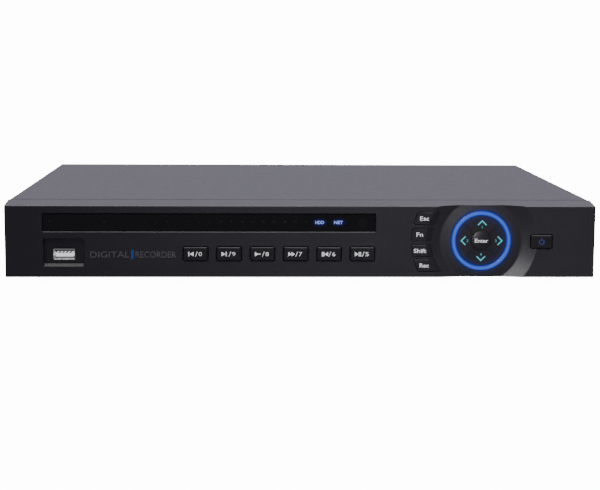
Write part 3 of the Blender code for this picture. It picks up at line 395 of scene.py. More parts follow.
def soft_glow():
    """Smoked acrylic lit deep blue from behind, fading out towards the piece's edges."""
    deep_blue = (0.006, 0.014, 0.26)
    steps = ((0.0, 1.0), (0.3, 0.6), (0.55, 0.16), (0.78, 0.03), (1.0, 0.0))
    stops = [(share, dimmed(deep_blue, strength)) for share, strength in steps]
    made = surface("soft_blue", SMOKE, 0.10, vary=0.25, patch=0.05)
    return lit_by_distance(made, "Generated", 2.0, (1.0, 1.0), (0.0, 1.0), stops)


def add_painted_ring_spill(made, steps):
    """Paints the ring's blue light spill onto a finish as a glow; steps are (distance from the dial's axis in
    mm, strength).
    """
    reach = 40.0
    stops = [(radius / reach, dimmed((0.002, 0.008, 0.075), strength)) for radius, strength in steps]
    lit_by_distance(made, "Object", 1.0, DIAL_PLACE, (0.0, reach * MM), stops)


SMOKE = (0.0005, 0.0005, 0.001)
PAINT = surface(
    "powder_coat", (0.016, 0.015, 0.019), 0.46, grain=0.0007, relief=0.00006, vary=0.05, patch=0.004
)
MOULDING = surface("fascia_plastic", (0.026, 0.025, 0.029), 0.38, grain=0.0004, relief=0.00002, vary=0.06)
KEY = surface("key_plastic", (0.010, 0.010, 0.011), 0.36, grain=0.0004, relief=0.00001, vary=0.06)
SIDE_KEY = surface("side_key_plastic", (0.017, 0.016, 0.019), 0.42, grain=0.0004, relief=0.00001, vary=0.06)
PAD = surface("pad_plastic", (0.018, 0.016, 0.021), 0.38, grain=0.0005, relief=0.00001, vary=0.06)
SMOKED = surface("smoked_acrylic", SMOKE, 0.10, vary=0.25, patch=0.05)
DARK = surface("dark_plastic", (0.018, 0.018, 0.019), 0.5, grain=0.0005, relief=0.00002, vary=0.1)
RUBBER = surface("foot_rubber", (0.012, 0.012, 0.012), 0.85, grain=0.0005, relief=0.00005, vary=0.1)
ZINC = surface(
    "zinc_plate", (0.62, 0.62, 0.60), 0.32, 1.0, grain=0.0008, relief=0.00001, vary=0.2, patch=0.002
)
NICKEL = surface(
    "nickel_plate", (0.66, 0.64, 0.60), 0.24, 1.0, grain=0.001, relief=0.00001, vary=0.2, patch=0.003
)
GOLD = surface("gold_plate", (0.80, 0.58, 0.24), 0.25, 1.0, vary=0.15, patch=0.002)
ALUMINIUM = surface("cast_aluminium", (0.62, 0.62, 0.63), 0.42, 1.0, grain=0.0007, relief=0.00003, vary=0.15)
WHITE = surface("white_nylon", (0.82, 0.82, 0.80), 0.45, grain=0.0006, relief=0.00001, vary=0.05)
GREEN = surface("green_plastic", (0.02, 0.22, 0.06), 0.4, grain=0.0006, relief=0.00002, vary=0.08)
BLUE = surface("blue_plastic", (0.02, 0.07, 0.36), 0.4, grain=0.0006, relief=0.00002, vary=0.08)
RED = surface("red_plastic", (0.42, 0.015, 0.012), 0.4, grain=0.0006, relief=0.00002, vary=0.08)
GREY = surface("grey_plastic", (0.30, 0.30, 0.31), 0.5, grain=0.0006, relief=0.00002, vary=0.08)
LAMINATE = surface(
    "green_laminate", (0.015, 0.10, 0.04), 0.35, grain=0.002, relief=0.00002, vary=0.2, patch=0.004
)
PRINT = surface("white_print", (0.80, 0.80, 0.80), 0.5, vary=0.04)
FAINT_PRINT = surface("grey_print", (0.15, 0.15, 0.16), 0.5, vary=0.05)
DEEP_PRINT = surface("dim_print", (0.016, 0.016, 0.019), 0.4, vary=0.05)
BLUE_PRINT = surface("blue_print", (0.02, 0.10, 0.42), 0.4, vary=0.05)
# Painted light: the ring's blue spill glows on the fascia near the dial hole and on the direction keys' outer
# edges.
add_painted_ring_spill(MOULDING, ((0.0, 0.0), (19.0, 0.9), (20.3, 0.35), (22.8, 0.0)))
add_painted_ring_spill(PAD, ((9.0, 0.0), (13.0, 0.12), (15.0, 0.5), (16.3, 1.0)))
RING_LIGHT = ring_glow()
SOFT_BLUE = soft_glow()
LENS = surface("receiver_acrylic", (0.003, 0.002, 0.003), 0.2, vary=0.05)
CYAN_LIGHT = glowing("cyan_light", (0.07, 0.62, 0.68), 1.0)
BLUE_LIGHT = glowing("blue_light", (0.06, 0.07, 0.50), 0.55)
MARK_LIGHT = glowing("mark_light", (0.30, 0.42, 1.0), 1.0)
# Painted light: the white USB insulator glows, though nothing lights it from within.
NYLON_PAINTED_GLOW = glowing("nylon_painted_glow", (0.95, 0.97, 1.0), 0.8, (0.8, 0.8, 0.78))
# Painted light: the white print on the keys and the dome glows evenly, though the keys are not lit from
# within.
LEGEND_PAINTED_GLOW = glowing("legend_print_painted_glow", (0.80, 0.82, 0.85), 0.6, (0.8, 0.8, 0.8))
GREEN_LAMP = surface("green_lamp", (0.03, 0.35, 0.08), 0.25, vary=0.05)
AMBER_LAMP = surface("amber_lamp", (0.60, 0.28, 0.03), 0.25, vary=0.05)

# Front

FACE_WALL = 2.5  # thickness behind the front face
SIDE_WALL = 2.0
TOP_WALL = 1.8
DISH_RADIUS = 35.9
DIAL_HOLE = 19.4  # radius of the hole that the ring and the pad sit in
BACKING_RADIUS = 37.5  # the thicker wall behind the dish
BACKING_CLEAR = 38.1  # where a key's flange stops short of it
FLANGE = (2.8, 3.8)  # depths of the key flanges' two faces
FLANGE_MARGIN = 1.25
STEM_DEPTH = 3.0
CAP_PROUD = 0.7
TRANSPORT = ("previous_key", "play_key", "slow_key", "fast_key", "step_back_key", "step_forward_key")
FLAT_KEYS = TRANSPORT + ("power_key",)
SIDE_KEYS = ("esc_key", "fn_key", "shift_key", "record_key")
SIDE_INNER = 32.3
SIDE_OUTER = 44.6
SIDE_MARGIN = 0.9
SIDE_PROUD = 0.5
PAD_KEYS = ("right_key", "up_key", "left_key", "down_key")
PAD_FACE = 1.52  # depth of the direction keys' faces where their marks are
PAD_SLOPE = 0.035  # the faces fall away outwards as one shallow cone


def fascia_outline():
    """The (y, z) side view of the fascia, its front edges rounded."""
    y, back = FRONT_Y, FRONT_Y + FASCIA_DEPTH
    return (
        arc((y + 0.5, BASE_Z + 0.5), 0.5, 270, 180, 4)
        + arc((y + 0.9, LIP_Z - 0.9), 0.9, 180, 97, 4)
        + [(back, TOP_Z), (back, BASE_Z)]
    )


def hole_cutter(outline_at, back, lip=0.3):
    """A cutter for a hole in the front face, with a chamfered lip; outline_at(grow) gives its outline."""
    return stacked(outline_at, [(-2.0, lip), (0.0, lip), (lip, 0.0), (back, 0.0)])


def key_outline(name, grow):
    """The outline of a rectangular key's cap, from its CAD node, whose flange has a margin round the cap."""
    low, high = millimetres(name)
    height = high.z - low.z - 2 * FLANGE_MARGIN
    width = 15.4 if name != "power_key" else 13.6
    centre = (high.x - FLANGE_MARGIN - width / 2, (low.z + high.z) / 2)
    return rounded(centre, (width + 2 * grow, height + 2 * grow), 0.7 + max(grow, 0.0), 4)


def outline_middle(name):
    """The middle of a rectangular key's cap, which isn't always the middle of its CAD node."""
    outline = key_outline(name, 0.0)
    return (min(p[0] for p in outline) + max(p[0] for p in outline)) / 2, middle(name).z


def side_outline(name, grow, steps=14):
    """The outline of a side key: two arcs about the dial's centre between two levels."""
    low, high = millimetres(name)
    levels = [low.z + SIDE_MARGIN - grow, high.z - SIDE_MARGIN + grow]
    inner, outer = SIDE_INNER - grow, SIDE_OUTER + grow
    outline = []
    for radius, (first, last) in ((outer, levels), (inner, levels[::-1])):
        for i in range(steps + 1):
            z = first + (last - first) * i / steps
            outline.append((DIAL_X - math.sqrt(radius**2 - (z - DIAL_Z) ** 2), z))
    return outline


USB_X, _, USB_Z = middle("front_usb_shell")
RECESS_CENTRE = (USB_X + 0.2, USB_Z + 1.4)
RECESS_SIZE = (25.8, 17.72)
RECESS_DEPTH = 3.0
RECESS_LIP = 1.7  # how far the lower edge slopes back


def recess_cutter():
    """The USB recess: steep sides, and a lower edge that slopes back at 45 degrees."""
    width, height = RECESS_SIZE
    x, z = RECESS_CENTRE
    rows = [(-2.0, 0.3, -0.3), (0.0, 0.3, -0.3), (0.12, 0.1, 0.0)]
    rows += [(RECESS_LIP, 0.0, RECESS_LIP), (RECESS_DEPTH, -0.1, RECESS_LIP)]
    layers = []
    for depth, grow, ramp in rows:
        size = (width + 2 * grow, height + grow - ramp)
        layers.append(placed(rounded((x, z + (grow + ramp) / 2), size, 1.1), "Y", FRONT_Y + depth))
    return loft(layers)


def dish_profile(lift=0.0):
    """The dish's turned surface as (depth, radius): rim, cone, trough and boss; lift brings it forward."""
    points = [(0.0, DISH_RADIUS), (0.06, 35.6), (0.22, 35.25), (3.1, 27.0), (3.25, 26.4), (3.2, 25.9)]
    points += [(3.1, 25.2), (2.95, 24.2), (2.77, 23.0), (2.59, 21.8), (2.41, 20.6)]
    return [(depth - lift, radius) for depth, radius in points]


def make_fascia():
    shell = prism(fascia_outline(), "X", -HALF_WIDTH, HALF_WIDTH)
    eased(shell, 0.5, 3, 50)
    back = FRONT_Y + FASCIA_DEPTH + 1
    wall_y = FRONT_Y + FACE_WALL
    floor_z = BASE_Z + SIDE_WALL
    hollow = [(wall_y, floor_z), (wall_y, LIP_Z - TOP_WALL), (back, TOP_Z - TOP_WALL), (back, floor_z)]
    cut(shell, prism(hollow, "X", SIDE_WALL - HALF_WIDTH, HALF_WIDTH - SIDE_WALL))
    dial = (DIAL_X, FRONT_Y, DIAL_Z)
    backing = cut(
        rod(dial, BACKING_RADIUS, 1.0, 6.3, "Y", 96),
        block((0.0, FRONT_Y, LIP_Z - 1.0), (400.0, 0.0, 400.0)),
        block((0.0, FRONT_Y, -400.0), (400.0, 0.0, BASE_Z + 1.0)),
    )
    low, high = millimetres("display_window")
    window_centre = face_middle("display_window")
    window_size = (high.x - low.x + 2 * GAP, high.z - low.z + 2 * GAP)
    joined(
        shell,
        backing,
        slab(window_centre, (window_size[0] + 5.0, window_size[1] + 3.4), FRONT_Y + 1.0, FRONT_Y + 4.0),
        slab(RECESS_CENTRE, (RECESS_SIZE[0] + 4.0, RECESS_SIZE[1] + 4.0), FRONT_Y + 1.0, FRONT_Y + 5.0),
    )
    dish = [(-5.0, 0.0), (-5.0, DISH_RADIUS)] + dish_profile()
    dish += [(2.34, 19.9), (2.32, 19.6), (2.35, DIAL_HOLE), (20.0, DIAL_HOLE), (20.0, 0.0)]

    def window_outline(grow):
        return rounded(window_centre, (window_size[0] + 2 * grow, window_size[1] + 2 * grow), 0.6 + grow)

    holes = [turned(dish, dial, "Y", 192), hole_cutter(window_outline, 1.9, 0.4)]
    slot_left, slot_right = millimetres("indicator_shroud")[0].x, 44.0
    slot_centre = ((slot_left + slot_right - GAP) / 2, face_middle("indicator_shroud")[1])
    holes.append(slab(slot_centre, (slot_right + GAP - slot_left, 7.0), FRONT_Y + 1.0, FRONT_Y + 6.0))
    for name in FLAT_KEYS:
        holes.append(hole_cutter(lambda grow, name=name: key_outline(name, 0.35 + grow), 9.0, 0.3))
    for name in SIDE_KEYS:
        holes.append(hole_cutter(lambda grow, name=name: side_outline(name, 0.2 + grow), 2.6, 0.12))
        holes.append(prism(side_outline(name, 1.2), "Y", FRONT_Y + FACE_WALL, FRONT_Y + 9.0))
    holes.append(recess_cutter())
    holes.append(prism(rounded((USB_X, USB_Z), (14.6, 8.0), 0.8), "Y", FRONT_Y - 1.0, FRONT_Y + 9.0))
    cut(shell, *holes)
    piece(shell, "fascia_moulding", MOULDING, "fascia_plastic", "front_fascia", smooth=28)


def usb_emboss():
    """A small raised guide mark above the front socket: a bar with a point at each end."""
    x, z, y = USB_X, USB_Z + 6.4, FRONT_Y + RECESS_DEPTH
    points = [(-4.2, 0.0), (-3.2, -0.5), (3.2, -0.5), (4.2, 0.0), (3.2, 0.5), (-3.2, 0.5)]
    outline = [(x + a, z + b) for a, b in points]
    mark = eased(prism(outline, "Y", y - 0.3, y + 0.2), 0.12)
    piece(mark, "usb_guide_mark", MOULDING, "fascia_plastic")


def cap_layers(outline_at, front, back):
    """A key cap: straight sides, and a chamfered front edge."""
    edge = [(front + 0.45, 0.0), (front + 0.35, -0.04), (front + 0.04, -0.35), (front, -0.45)]
    return stacked(outline_at, [(back, 0.0)] + edge)


def clear_of_backing(flange):
    return cut(flange, rod((DIAL_X, FRONT_Y, DIAL_Z), BACKING_CLEAR, -5.0, 10.0, "Y", 96))


def make_flat_keys():
    front, back = FRONT_Y + FLANGE[0], FRONT_Y + FLANGE[1]
    for name in FLAT_KEYS:
        low, high = millimetres(name)
        cap = cap_layers(lambda grow, name=name: key_outline(name, grow), -CAP_PROUD, FLANGE[1])
        flange = clear_of_backing(block((low.x, front, low.z), (high.x, back, high.z)))
        stem = slab(outline_middle(name), (5.0, 5.0), FRONT_Y + STEM_DEPTH, high.y)
        piece(joined(cap, flange, stem), name + "_cap", KEY, "key_plastic", name, body=name)


def make_side_keys():
    front, back = FRONT_Y + FLANGE[0], FRONT_Y + FLANGE[1]
    for name in SIDE_KEYS:
        low, high = millimetres(name)
        cap = prism(side_outline(name, 0.0), "Y", FRONT_Y - SIDE_PROUD, back)
        scoop = [(-6.0, 0.0), (-6.0, DISH_RADIUS)] + dish_profile(SIDE_PROUD) + [(3.0, 20.0), (3.0, 0.0)]
        cut(cap, turned(scoop, (DIAL_X, FRONT_Y, DIAL_Z), "Y", 192))
        eased(cap, 0.35, 1, 50)
        flange = clear_of_backing(prism(side_outline(name, SIDE_MARGIN), "Y", front, back))
        z = (low.z + high.z) / 2
        x = DIAL_X - math.sqrt(41.0**2 - (z - DIAL_Z) ** 2)
        stem = slab((x, z), (4.0, 4.0), FRONT_Y + STEM_DEPTH, high.y)
        piece(joined(cap, flange, stem), name + "_cap", SIDE_KEY, "key_plastic", name, body=name)


def sector(turn, inner, outer, split, steps=24):
    """A quarter of a ring about the dial's centre, short of each neighbour by the split."""
    outline = []
    for radius, way in ((outer, 1), (inner, -1)):
        half = way * (45.0 - math.degrees(math.asin(split / radius)))
        outline += arc((DIAL_X, DIAL_Z), radius, turn - half, turn + half, steps)
    return outline


def dome_depth(radius):
    """Depth of the enter key's dome at a distance from its middle."""
    return 0.35 + 0.85 * (radius / 6.0) ** 2


def make_pad_keys():
    """Four direction keys that make one shallow cone, and the domed key in their middle."""
    for quarter, name in enumerate(PAD_KEYS):
        turn = 90 * quarter
        high = millimetres(name)[1]
        layers = []
        for inner, outer, split, depth, slope in (
            (6.45, 16.05, 0.05, 5.85, 0.0),
            (6.45, 16.05, 0.05, 1.6, PAD_SLOPE),
            (6.47, 16.0, 0.05, 1.5, PAD_SLOPE),
            (6.55, 15.8, 0.07, 1.45, PAD_SLOPE),
        ):
            row = []
            for x, z in sector(turn, inner, outer, split):
                radius = math.hypot(x - DIAL_X, z - DIAL_Z)
                row.append((x, FRONT_Y + depth + slope * (radius - 6.0), z))
            layers.append(row)
        cap = loft(layers)
        skirt = prism(sector(turn, 8.0, 15.75, 0.45), "Y", FRONT_Y + 5.8, FRONT_Y + 8.2)
        flange = prism(sector(turn, 8.2, 18.0, 0.35), "Y", FRONT_Y + 7.9, FRONT_Y + 8.9)
        reach = math.radians(turn)
        stem_centre = (DIAL_X + 12.0 * math.cos(reach), DIAL_Z + 12.0 * math.sin(reach))
        stem = slab(stem_centre, (4.0, 4.0), FRONT_Y + 8.5, high.y)
        piece(joined(cap, skirt, flange, stem), name + "_pad", PAD, "key_plastic", name, body=name, smooth=25)
    profile = [(dome_depth(radius), radius) for radius in (0.0, 1.2, 2.4, 3.6, 4.6, 5.4, 6.0)]
    profile += [(1.35, 6.25), (1.6, 6.3), (6.5, 6.3), (6.5, 7.6), (7.5, 7.6), (7.5, 3.0)]
    profile += [(9.2, 3.0), (9.2, 0.0)]
    button = turned(profile, (DIAL_X, FRONT_Y, DIAL_Z), "Y", 96)
    piece(button, "enter_button", PAD, "key_plastic", "enter_key", body="enter_key")


def make_ring():
    profile = [(1.35, 16.32), (0.98, 16.5), (0.78, 16.9), (0.7, 17.7), (0.78, 18.5), (0.98, 18.9)]
    profile += [(1.35, 19.08), (6.6, 19.1), (6.6, 20.2), (7.6, 20.2), (7.6, 16.3)]
    ring = turned(profile, (DIAL_X, FRONT_Y, DIAL_Z), "Y", 128)
    piece(ring, "lit_ring", RING_LIGHT, "lit_ring", "light_ring")


def make_window():
    low, high = millimetres("display_window")
    centre = face_middle("display_window")
    size = (high.x - low.x, high.z - low.z)

    def outline_at(grow):
        return rounded(centre, (size[0] + 2 * grow, size[1] + 2 * grow), 0.5 + grow)

    plate = stacked(outline_at, [(0.3, -0.2), (0.42, -0.05), (0.6, 0.0), (1.6, 0.0)])
    piece(plate, "window_lens", SMOKED, "window_acrylic", "display_window")


def triangle(x, z, width, height, way):
    """A triangle that points right (1) or left (-1), centred on a point."""
    side = x - way * width / 2
    return [(side, z - height / 2), (x + way * width / 2, z), (side, z + height / 2)]


def bar(x, z, width, height):
    left, right, low, high = x - width / 2, x + width / 2, z - height / 2, z + height / 2
    return [(left, low), (right, low), (right, high), (left, high)]


LEGENDS = {
    "previous_key": ("0", ("bar", "left")),
    "play_key": ("9", ("right", "bar")),
    "slow_key": ("8", ("right", "dash")),
    "fast_key": ("7", ("right", "right")),
    "step_back_key": ("6", ("bar", "bar", "left")),
    "step_forward_key": ("5", ("right", "bar", "bar")),
}
MARK_HEIGHT = 2.9
MARK_WIDTH = {"bar": 1.1, "left": 2.5, "right": 2.5, "dash": 1.3}
MARKS_WIDTH = 4.2  # a longer row of symbols is made narrower to fit
SLASH = ((-0.85, -1.6), (-0.4, -1.6), (0.85, 1.6), (0.4, 1.6))
SIDE_LEGENDS = {
    "esc_key": ("Esc", 5.8, 2.6),
    "fn_key": ("Fn", 4.2, 2.7),
    "shift_key": ("Shift", 8.0, 0.9),
    "record_key": ("Rec", 5.8, 2.4),
}  # the word, its width and its distance from the key's left edge
CHEVRON = ((13.3, 0.0), (10.3, 3.0), (9.75, 2.45), (12.2, 0.0), (9.75, -2.45), (10.3, -3.0))
PAD_MARKS = (("3", 0.6, 0.0), ("1", 0.0, -0.5), ("2", 0.0, 0.0), ("4", 0.0, 0.0))  # digit and shifts


def symbol_outline(symbol, x, z, width):
    if symbol == "bar":
        return bar(x, z, 0.65 * width, MARK_HEIGHT)
    if symbol == "dash":
        return bar(x - 0.2, z, width, 0.6)
    return triangle(x, z, width, MARK_HEIGHT, 1 if symbol == "right" else -1)


def make_transport_legends():
    """Symbols, a slash and a digit on each transport key."""
    y = FRONT_Y - CAP_PROUD
    for name, (digit, symbols) in LEGENDS.items():
        centre_x, z = outline_middle(name)
        tight = MARKS_WIDTH / max(MARKS_WIDTH, sum(MARK_WIDTH[symbol] for symbol in symbols))
        x = centre_x - 4.85
        marks = []
        for symbol in symbols:
            width = MARK_WIDTH[symbol] * tight
            x += width / 2
            marks.append(inked(symbol_outline(symbol, x, z, width), y))
            x += width / 2
        slash_x = centre_x + 0.5
        marks.append(inked([(slash_x + a, z + b) for a, b in SLASH], y))
        marks.append(lettering(digit, (centre_x + 2.95, z), 2.6, y, width=2.1))
        piece(gathered(*marks), name + "_legend", LEGEND_PAINTED_GLOW, "white_nylon", body=name)


def make_side_legends():
    for name, (word, width, left) in SIDE_LEGENDS.items():
        low, high = millimetres(name)
        z = (low.z + high.z) / 2
        x = DIAL_X - math.sqrt(SIDE_OUTER**2 - (z - DIAL_Z) ** 2) + left + width / 2
        label = lettering(word, (x, z), 2.7, FRONT_Y - SIDE_PROUD, bold=0.012, width=width)
        piece(label, name + "_legend", LEGEND_PAINTED_GLOW, "white_nylon", body=name)


def make_pad_legends():
    """A word on the dome, and a chevron and a digit on each direction key."""

    def dome(x, z):
        return FRONT_Y + dome_depth(math.hypot(x - DIAL_X, z - DIAL_Z)) - INK

    word = lettering("Enter", (DIAL_X + 0.2, DIAL_Z + 0.1), 2.5, dome, bold=0.012, width=8.6)
    piece(word, "enter_legend", LEGEND_PAINTED_GLOW, "white_nylon", body="enter_key")
    y = FRONT_Y + PAD_FACE
    for quarter, (name, (digit, out, aside)) in enumerate(zip(PAD_KEYS, PAD_MARKS)):
        turn = math.radians(90 * quarter)
        toward = Vector((math.cos(turn), math.sin(turn)))
        across = Vector((-toward.y, toward.x))
        centre = Vector((DIAL_X, DIAL_Z)) + toward * out + across * aside
        chevron = [tuple(centre + toward * reach + across * side) for reach, side in CHEVRON]
        number = lettering(digit, tuple(centre + toward * 8.8), 1.7, y - 0.04)
        piece(gathered(inked(chevron, y), number), name + "_legend", CYAN_LIGHT, "lit_ring", body=name)


def make_power_legend():
    """A broken ring with a stroke in its gap."""
    x, z = outline_middle("power_key")
    y = FRONT_Y - CAP_PROUD
    ring = arc((x, z), 1.8, 125, 415, 24) + arc((x, z), 1.3, 415, 125, 24)
    symbol = gathered(inked(ring, y), inked(bar(x, z + 1.5, 0.5, 1.9), y))
    piece(symbol, "power_legend", BLUE_LIGHT, "lit_ring", body="power_key")


def make_legends():
    make_transport_legends()
    make_side_legends()
    make_pad_legends()
    make_power_legend()


def make_window_marks():
    """The window's indicators: faint channel numbers, and the lit drive and network marks."""
    low = millimetres("display_window")[0]
    y = low.y - INK
    z = low.z + 6.1
    faint = [lettering(str(i + 1), (-98.6 + 6.75 * i, z), 1.5, y) for i in range(16)]
    faint += [inked(arc((x, z), 0.75, 0, 337.5, 15), y) for x in (-159.1, -124.4)]
    piece(gathered(*faint), "channel_marks", DEEP_PRINT, "window_acrylic")
    for word, x in (("HDD", 11.4), ("NET", 23.3)):
        glow = prism(rounded((x, z - 0.4), (12.0, 7.0), 2.5), "Y", y, y + 2 * INK)
        piece(glow, word.lower() + "_glow", SOFT_BLUE, "lit_ring")
        mark = lettering(word, (x, z - 0.4), 2.1, y - INK, bold=0.03, width=5.7)
        piece(mark, word.lower() + "_mark", MARK_LIGHT, "lit_ring")
    profile = [(-0.05, 0.0), (-0.05, 2.4), (0.0, 2.9), (0.2, 2.9), (0.2, 0.0)]
    lens = turned(profile, (38.75, low.y, z - 0.8), "Y", 48)
    piece(lens, "receiver_lens", LENS, "window_acrylic")


def make_name_line():
    """A plain description of the product, with a plain blue block in its middle."""
    z = USB_Z + 0.2
    words = [
        lettering("DIGITAL", (-121.4, z), 4.0, FRONT_Y, width=24.8),
        lettering("RECORDER", (-92.4, z), 4.0, FRONT_Y, width=25.6),
    ]
    piece(gathered(*words), "name_line", FAINT_PRINT, "fascia_plastic")
    block_mark = inked(rounded((-107.2, z), (1.6, 6.0), 0.4, 3), FRONT_Y)
    piece(block_mark, "name_block", BLUE_PRINT, "lit_ring")


USB_PITCH = 2.33


def make_front_usb():
    low, high = millimetres("front_usb_shell")
    x, z, y0, y1 = USB_X, USB_Z, low.y, high.y
    profile = ((0.0, 0.35, 0.75), (0.45, 0.1, 0.05), (1.2, 0.0, 0.0), (y1 - y0, 0.0, 0.0))
    outer, inner = [], []
    for along, flare_x, flare_z in profile:
        size = (13.2 + 2 * flare_x, 5.8 + 2 * flare_z)
        outer.append(placed(rounded((x, z), size, 0.7), "Y", y0 + along))
        inner.append(placed(rounded((x, z), (size[0] - 0.7, size[1] - 0.7), 0.4), "Y", y0 + along))
    inner[0] = [(px, py - 0.01, pz) for px, py, pz in inner[0]]
    inner[-1] = [(px, py + 0.5, pz) for px, py, pz in inner[-1]]
    shell = cut(loft(outer), loft(inner))
    piece(shell, "front_usb_socket", NICKEL, "nickel_plate", "front_usb_shell")
    low, high = millimetres("front_usb_tongue")
    tongue = eased(block((x - 5.6, low.y, z - 1.7), (x + 5.6, high.y - 2.9, z + 0.4)), 0.2, 2)
    # The insulator is given a glow: painted light that makes it show bright in the socket.
    piece(tongue, "front_usb_insulator", NYLON_PAINTED_GLOW, "white_nylon", "front_usb_tongue")
    # Painted shade: the socket's back wall is dark, and two thin dark sheets cover the shell's inner top and
    # bottom walls.
    base = eased(slab((x, z), (11.8, 4.4), high.y - 3.0, high.y), 0.2, 2)
    painted_shade_sheets = [slab((x, z + level), (11.6, 0.12), low.y + 0.2, high.y - 3.1) for level in (-2.45, 2.45)]
    piece(gathered(base, *painted_shade_sheets), "front_usb_base_and_painted_shade", DARK, "white_nylon")
    contacts = []
    for i in range(4):
        left = x - 4.0 + USB_PITCH * i
        contacts.append(block((left, low.y + 0.8, z + 0.4), (left + 1.0, low.y + 8.0, z + 0.52)))
    piece(gathered(*contacts), "front_usb_contacts", GOLD, "nickel_plate")


# Case

REAR_SCREWS = ("rear_screw_left", "rear_screw_centre", "rear_screw_right")
REAR_SCREW_X = [middle(name).x for name in REAR_SCREWS]
SCREW_Z = middle("rear_screw_left").z
SIDE_SCREW_Z = 17.0
SIDE_HEAD = [(0.0, 0.0), (0.0, 2.3), (-0.15, 2.75), (-0.5, 3.0), (-1.5, 1.8), (-1.5, 1.45)]
SIDE_HEAD += [(-6.5, 1.45), (-6.5, 0.0)]
REAR_HEAD = [(-0.1, 0.0), (-0.12, 1.2), (-0.4, 2.1), (-0.9, 2.7), (-1.4, 2.9), (-1.9, 2.9)]
REAR_HEAD += [(-1.9, 1.45), (-8.9, 1.45), (-8.9, 0.0)]
EARTH_HEAD = [(-0.1, 0.0), (-0.15, 1.6), (-0.6, 2.8), (-1.2, 3.4), (-2.3, 3.5), (-2.4, 3.5), (-2.4, 4.4)]
EARTH_HEAD += [(-2.5, 4.5), (-3.2, 4.5), (-3.2, 1.9), (-9.5, 1.9), (-9.5, 0.0)]


def cover_outline(half, top, radius):
    left = arc((-half + radius, top - radius), radius, 180, 90, 8)
    right = arc((half - radius, top - radius), radius, 90, 0, 8)
    return [(-half, BASE_Z)] + left + right + [(half, BASE_Z)]


def make_cover():
    """The folded cover: bends, vent slots, countersinks and the rear flange."""
    low, high = millimetres("top_cover")
    flange_y = high.y - SHEET
    shell = prism(cover_outline(high.x, high.z, 1.6), "Y", low.y, high.y)
    inner = cover_outline(high.x - SHEET, high.z - SHEET, 0.6)
    inner = [(x, z - 5.0 if z == BASE_Z else z) for x, z in inner]
    below = block((-high.x - 1, flange_y - 1, 0.0), (high.x + 1, high.y + 1, high.z - 9.0))
    cut(shell, prism(inner, "Y", low.y - 1, flange_y), below)
    holes = [rod((x, high.y, SCREW_Z), 1.8, -3.0, 3.0) for x in REAR_SCREW_X]
    for group_y in (-40.0, 45.0):
        for i in range(6):
            y = group_y + (i - 2.5) * 9.0
            holes.append(prism(rounded((y, 39.0), (4.0, 14.0), 1.9), "X", -250.0, 250.0))
    for side in (-1, 1):
        sink = [(3.0, 0.0), (3.0, 3.6), (0.0, 3.5), (-SHEET, 2.3), (-3.0, 2.3), (-3.0, 0.0)]
        sink = [(side * along, radius) for along, radius in sink]
        holes += [turned(sink, (side * high.x, y, SIDE_SCREW_Z), "X", 48) for y in (-85.0, 85.0)]
    cut(shell, *holes)
    eased(shell, 0.18, 2, 50)
    piece(shell, "cover_shell", PAINT, "painted_steel", "top_cover")


def cross_cutter(centre, axis, way, size):
    """A cross recess in a screw's head, tapering inwards."""
    arms = []
    for a, b in ((size, 0.22 * size), (0.22 * size, size)):
        outline = rounded((0.0, 0.0), (2 * a, 2 * b), 0.15 * size, 2)
        rows = []
        for height, share in ((1.0, 1.15), (-1.6, 0.35)):
            row = placed([(p * share, q * share) for p, q in outline], axis, way * height)
            rows.append([[c + offset for c, offset in zip(centre, point)] for point in row])
        arms.append(loft(rows))
    return arms


def make_screw(node, name, head, centre, axis="Y", way=1, size=1.7):
    screw = turned([(way * along, radius) for along, radius in head], centre, axis, 48)
    cut(screw, *cross_cutter(centre, axis, way, size))
    piece(screw, name, ZINC, "zinc_steel", node)


def make_screws():
    for side, word in ((-1, "left"), (1, "right")):
        for end in ("front", "rear"):
            name = f"side_screw_{word}_{end}"
            low, high = millimetres(name)
            centre = (low.x if side < 0 else high.x, (low.y + high.y) / 2, SIDE_SCREW_Z)
            make_screw(name, name + "_head", SIDE_HEAD, centre, "X", side)
    for name in REAR_SCREWS:
        low, high = millimetres(name)
        make_screw(name, name + "_head", REAR_HEAD, ((low.x + high.x) / 2, high.y, SCREW_Z))
    x, z = face_middle("ground_screw")
    tip_y = millimetres("ground_screw")[1].y
    make_screw("ground_screw", "earth_screw_head", EARTH_HEAD, (x, tip_y, z), size=2.0)


def make_feet():
    for name in ("foot_front_left", "foot_front_right", "foot_rear_left", "foot_rear_right"):
        centre = middle(name)
        top, peg = BASE_Z - GAP, millimetres(name)[1].z
        profile = [(0.0, 0.0), (0.0, 7.4), (0.12, 7.8), (0.5, 8.3), (1.2, 8.7), (top - 0.4, 9.5), (top, 9.55)]
        profile += [(top, 2.9), (peg, 2.9), (peg, 0.0)]
        foot = turned(profile, (centre.x, centre.y, 0.0), "Z", 64)
        piece(foot, name + "_pad", RUBBER, "foot_rubber", name)


# Rear

VIDEO_BOX = millimetres("video_input_block")
VIDEO_PITCH = 15.2
VIDEO_X = [VIDEO_BOX[0].x + 7.0 + VIDEO_PITCH * i for i in range(8)]
VIDEO_Z = (20.0, 37.0)
AUDIO_X = [middle("audio_block").x - 7.0, middle("audio_block").x + 7.0]
BLOCK_FACE_Y = REAR_Y - SHEET - GAP


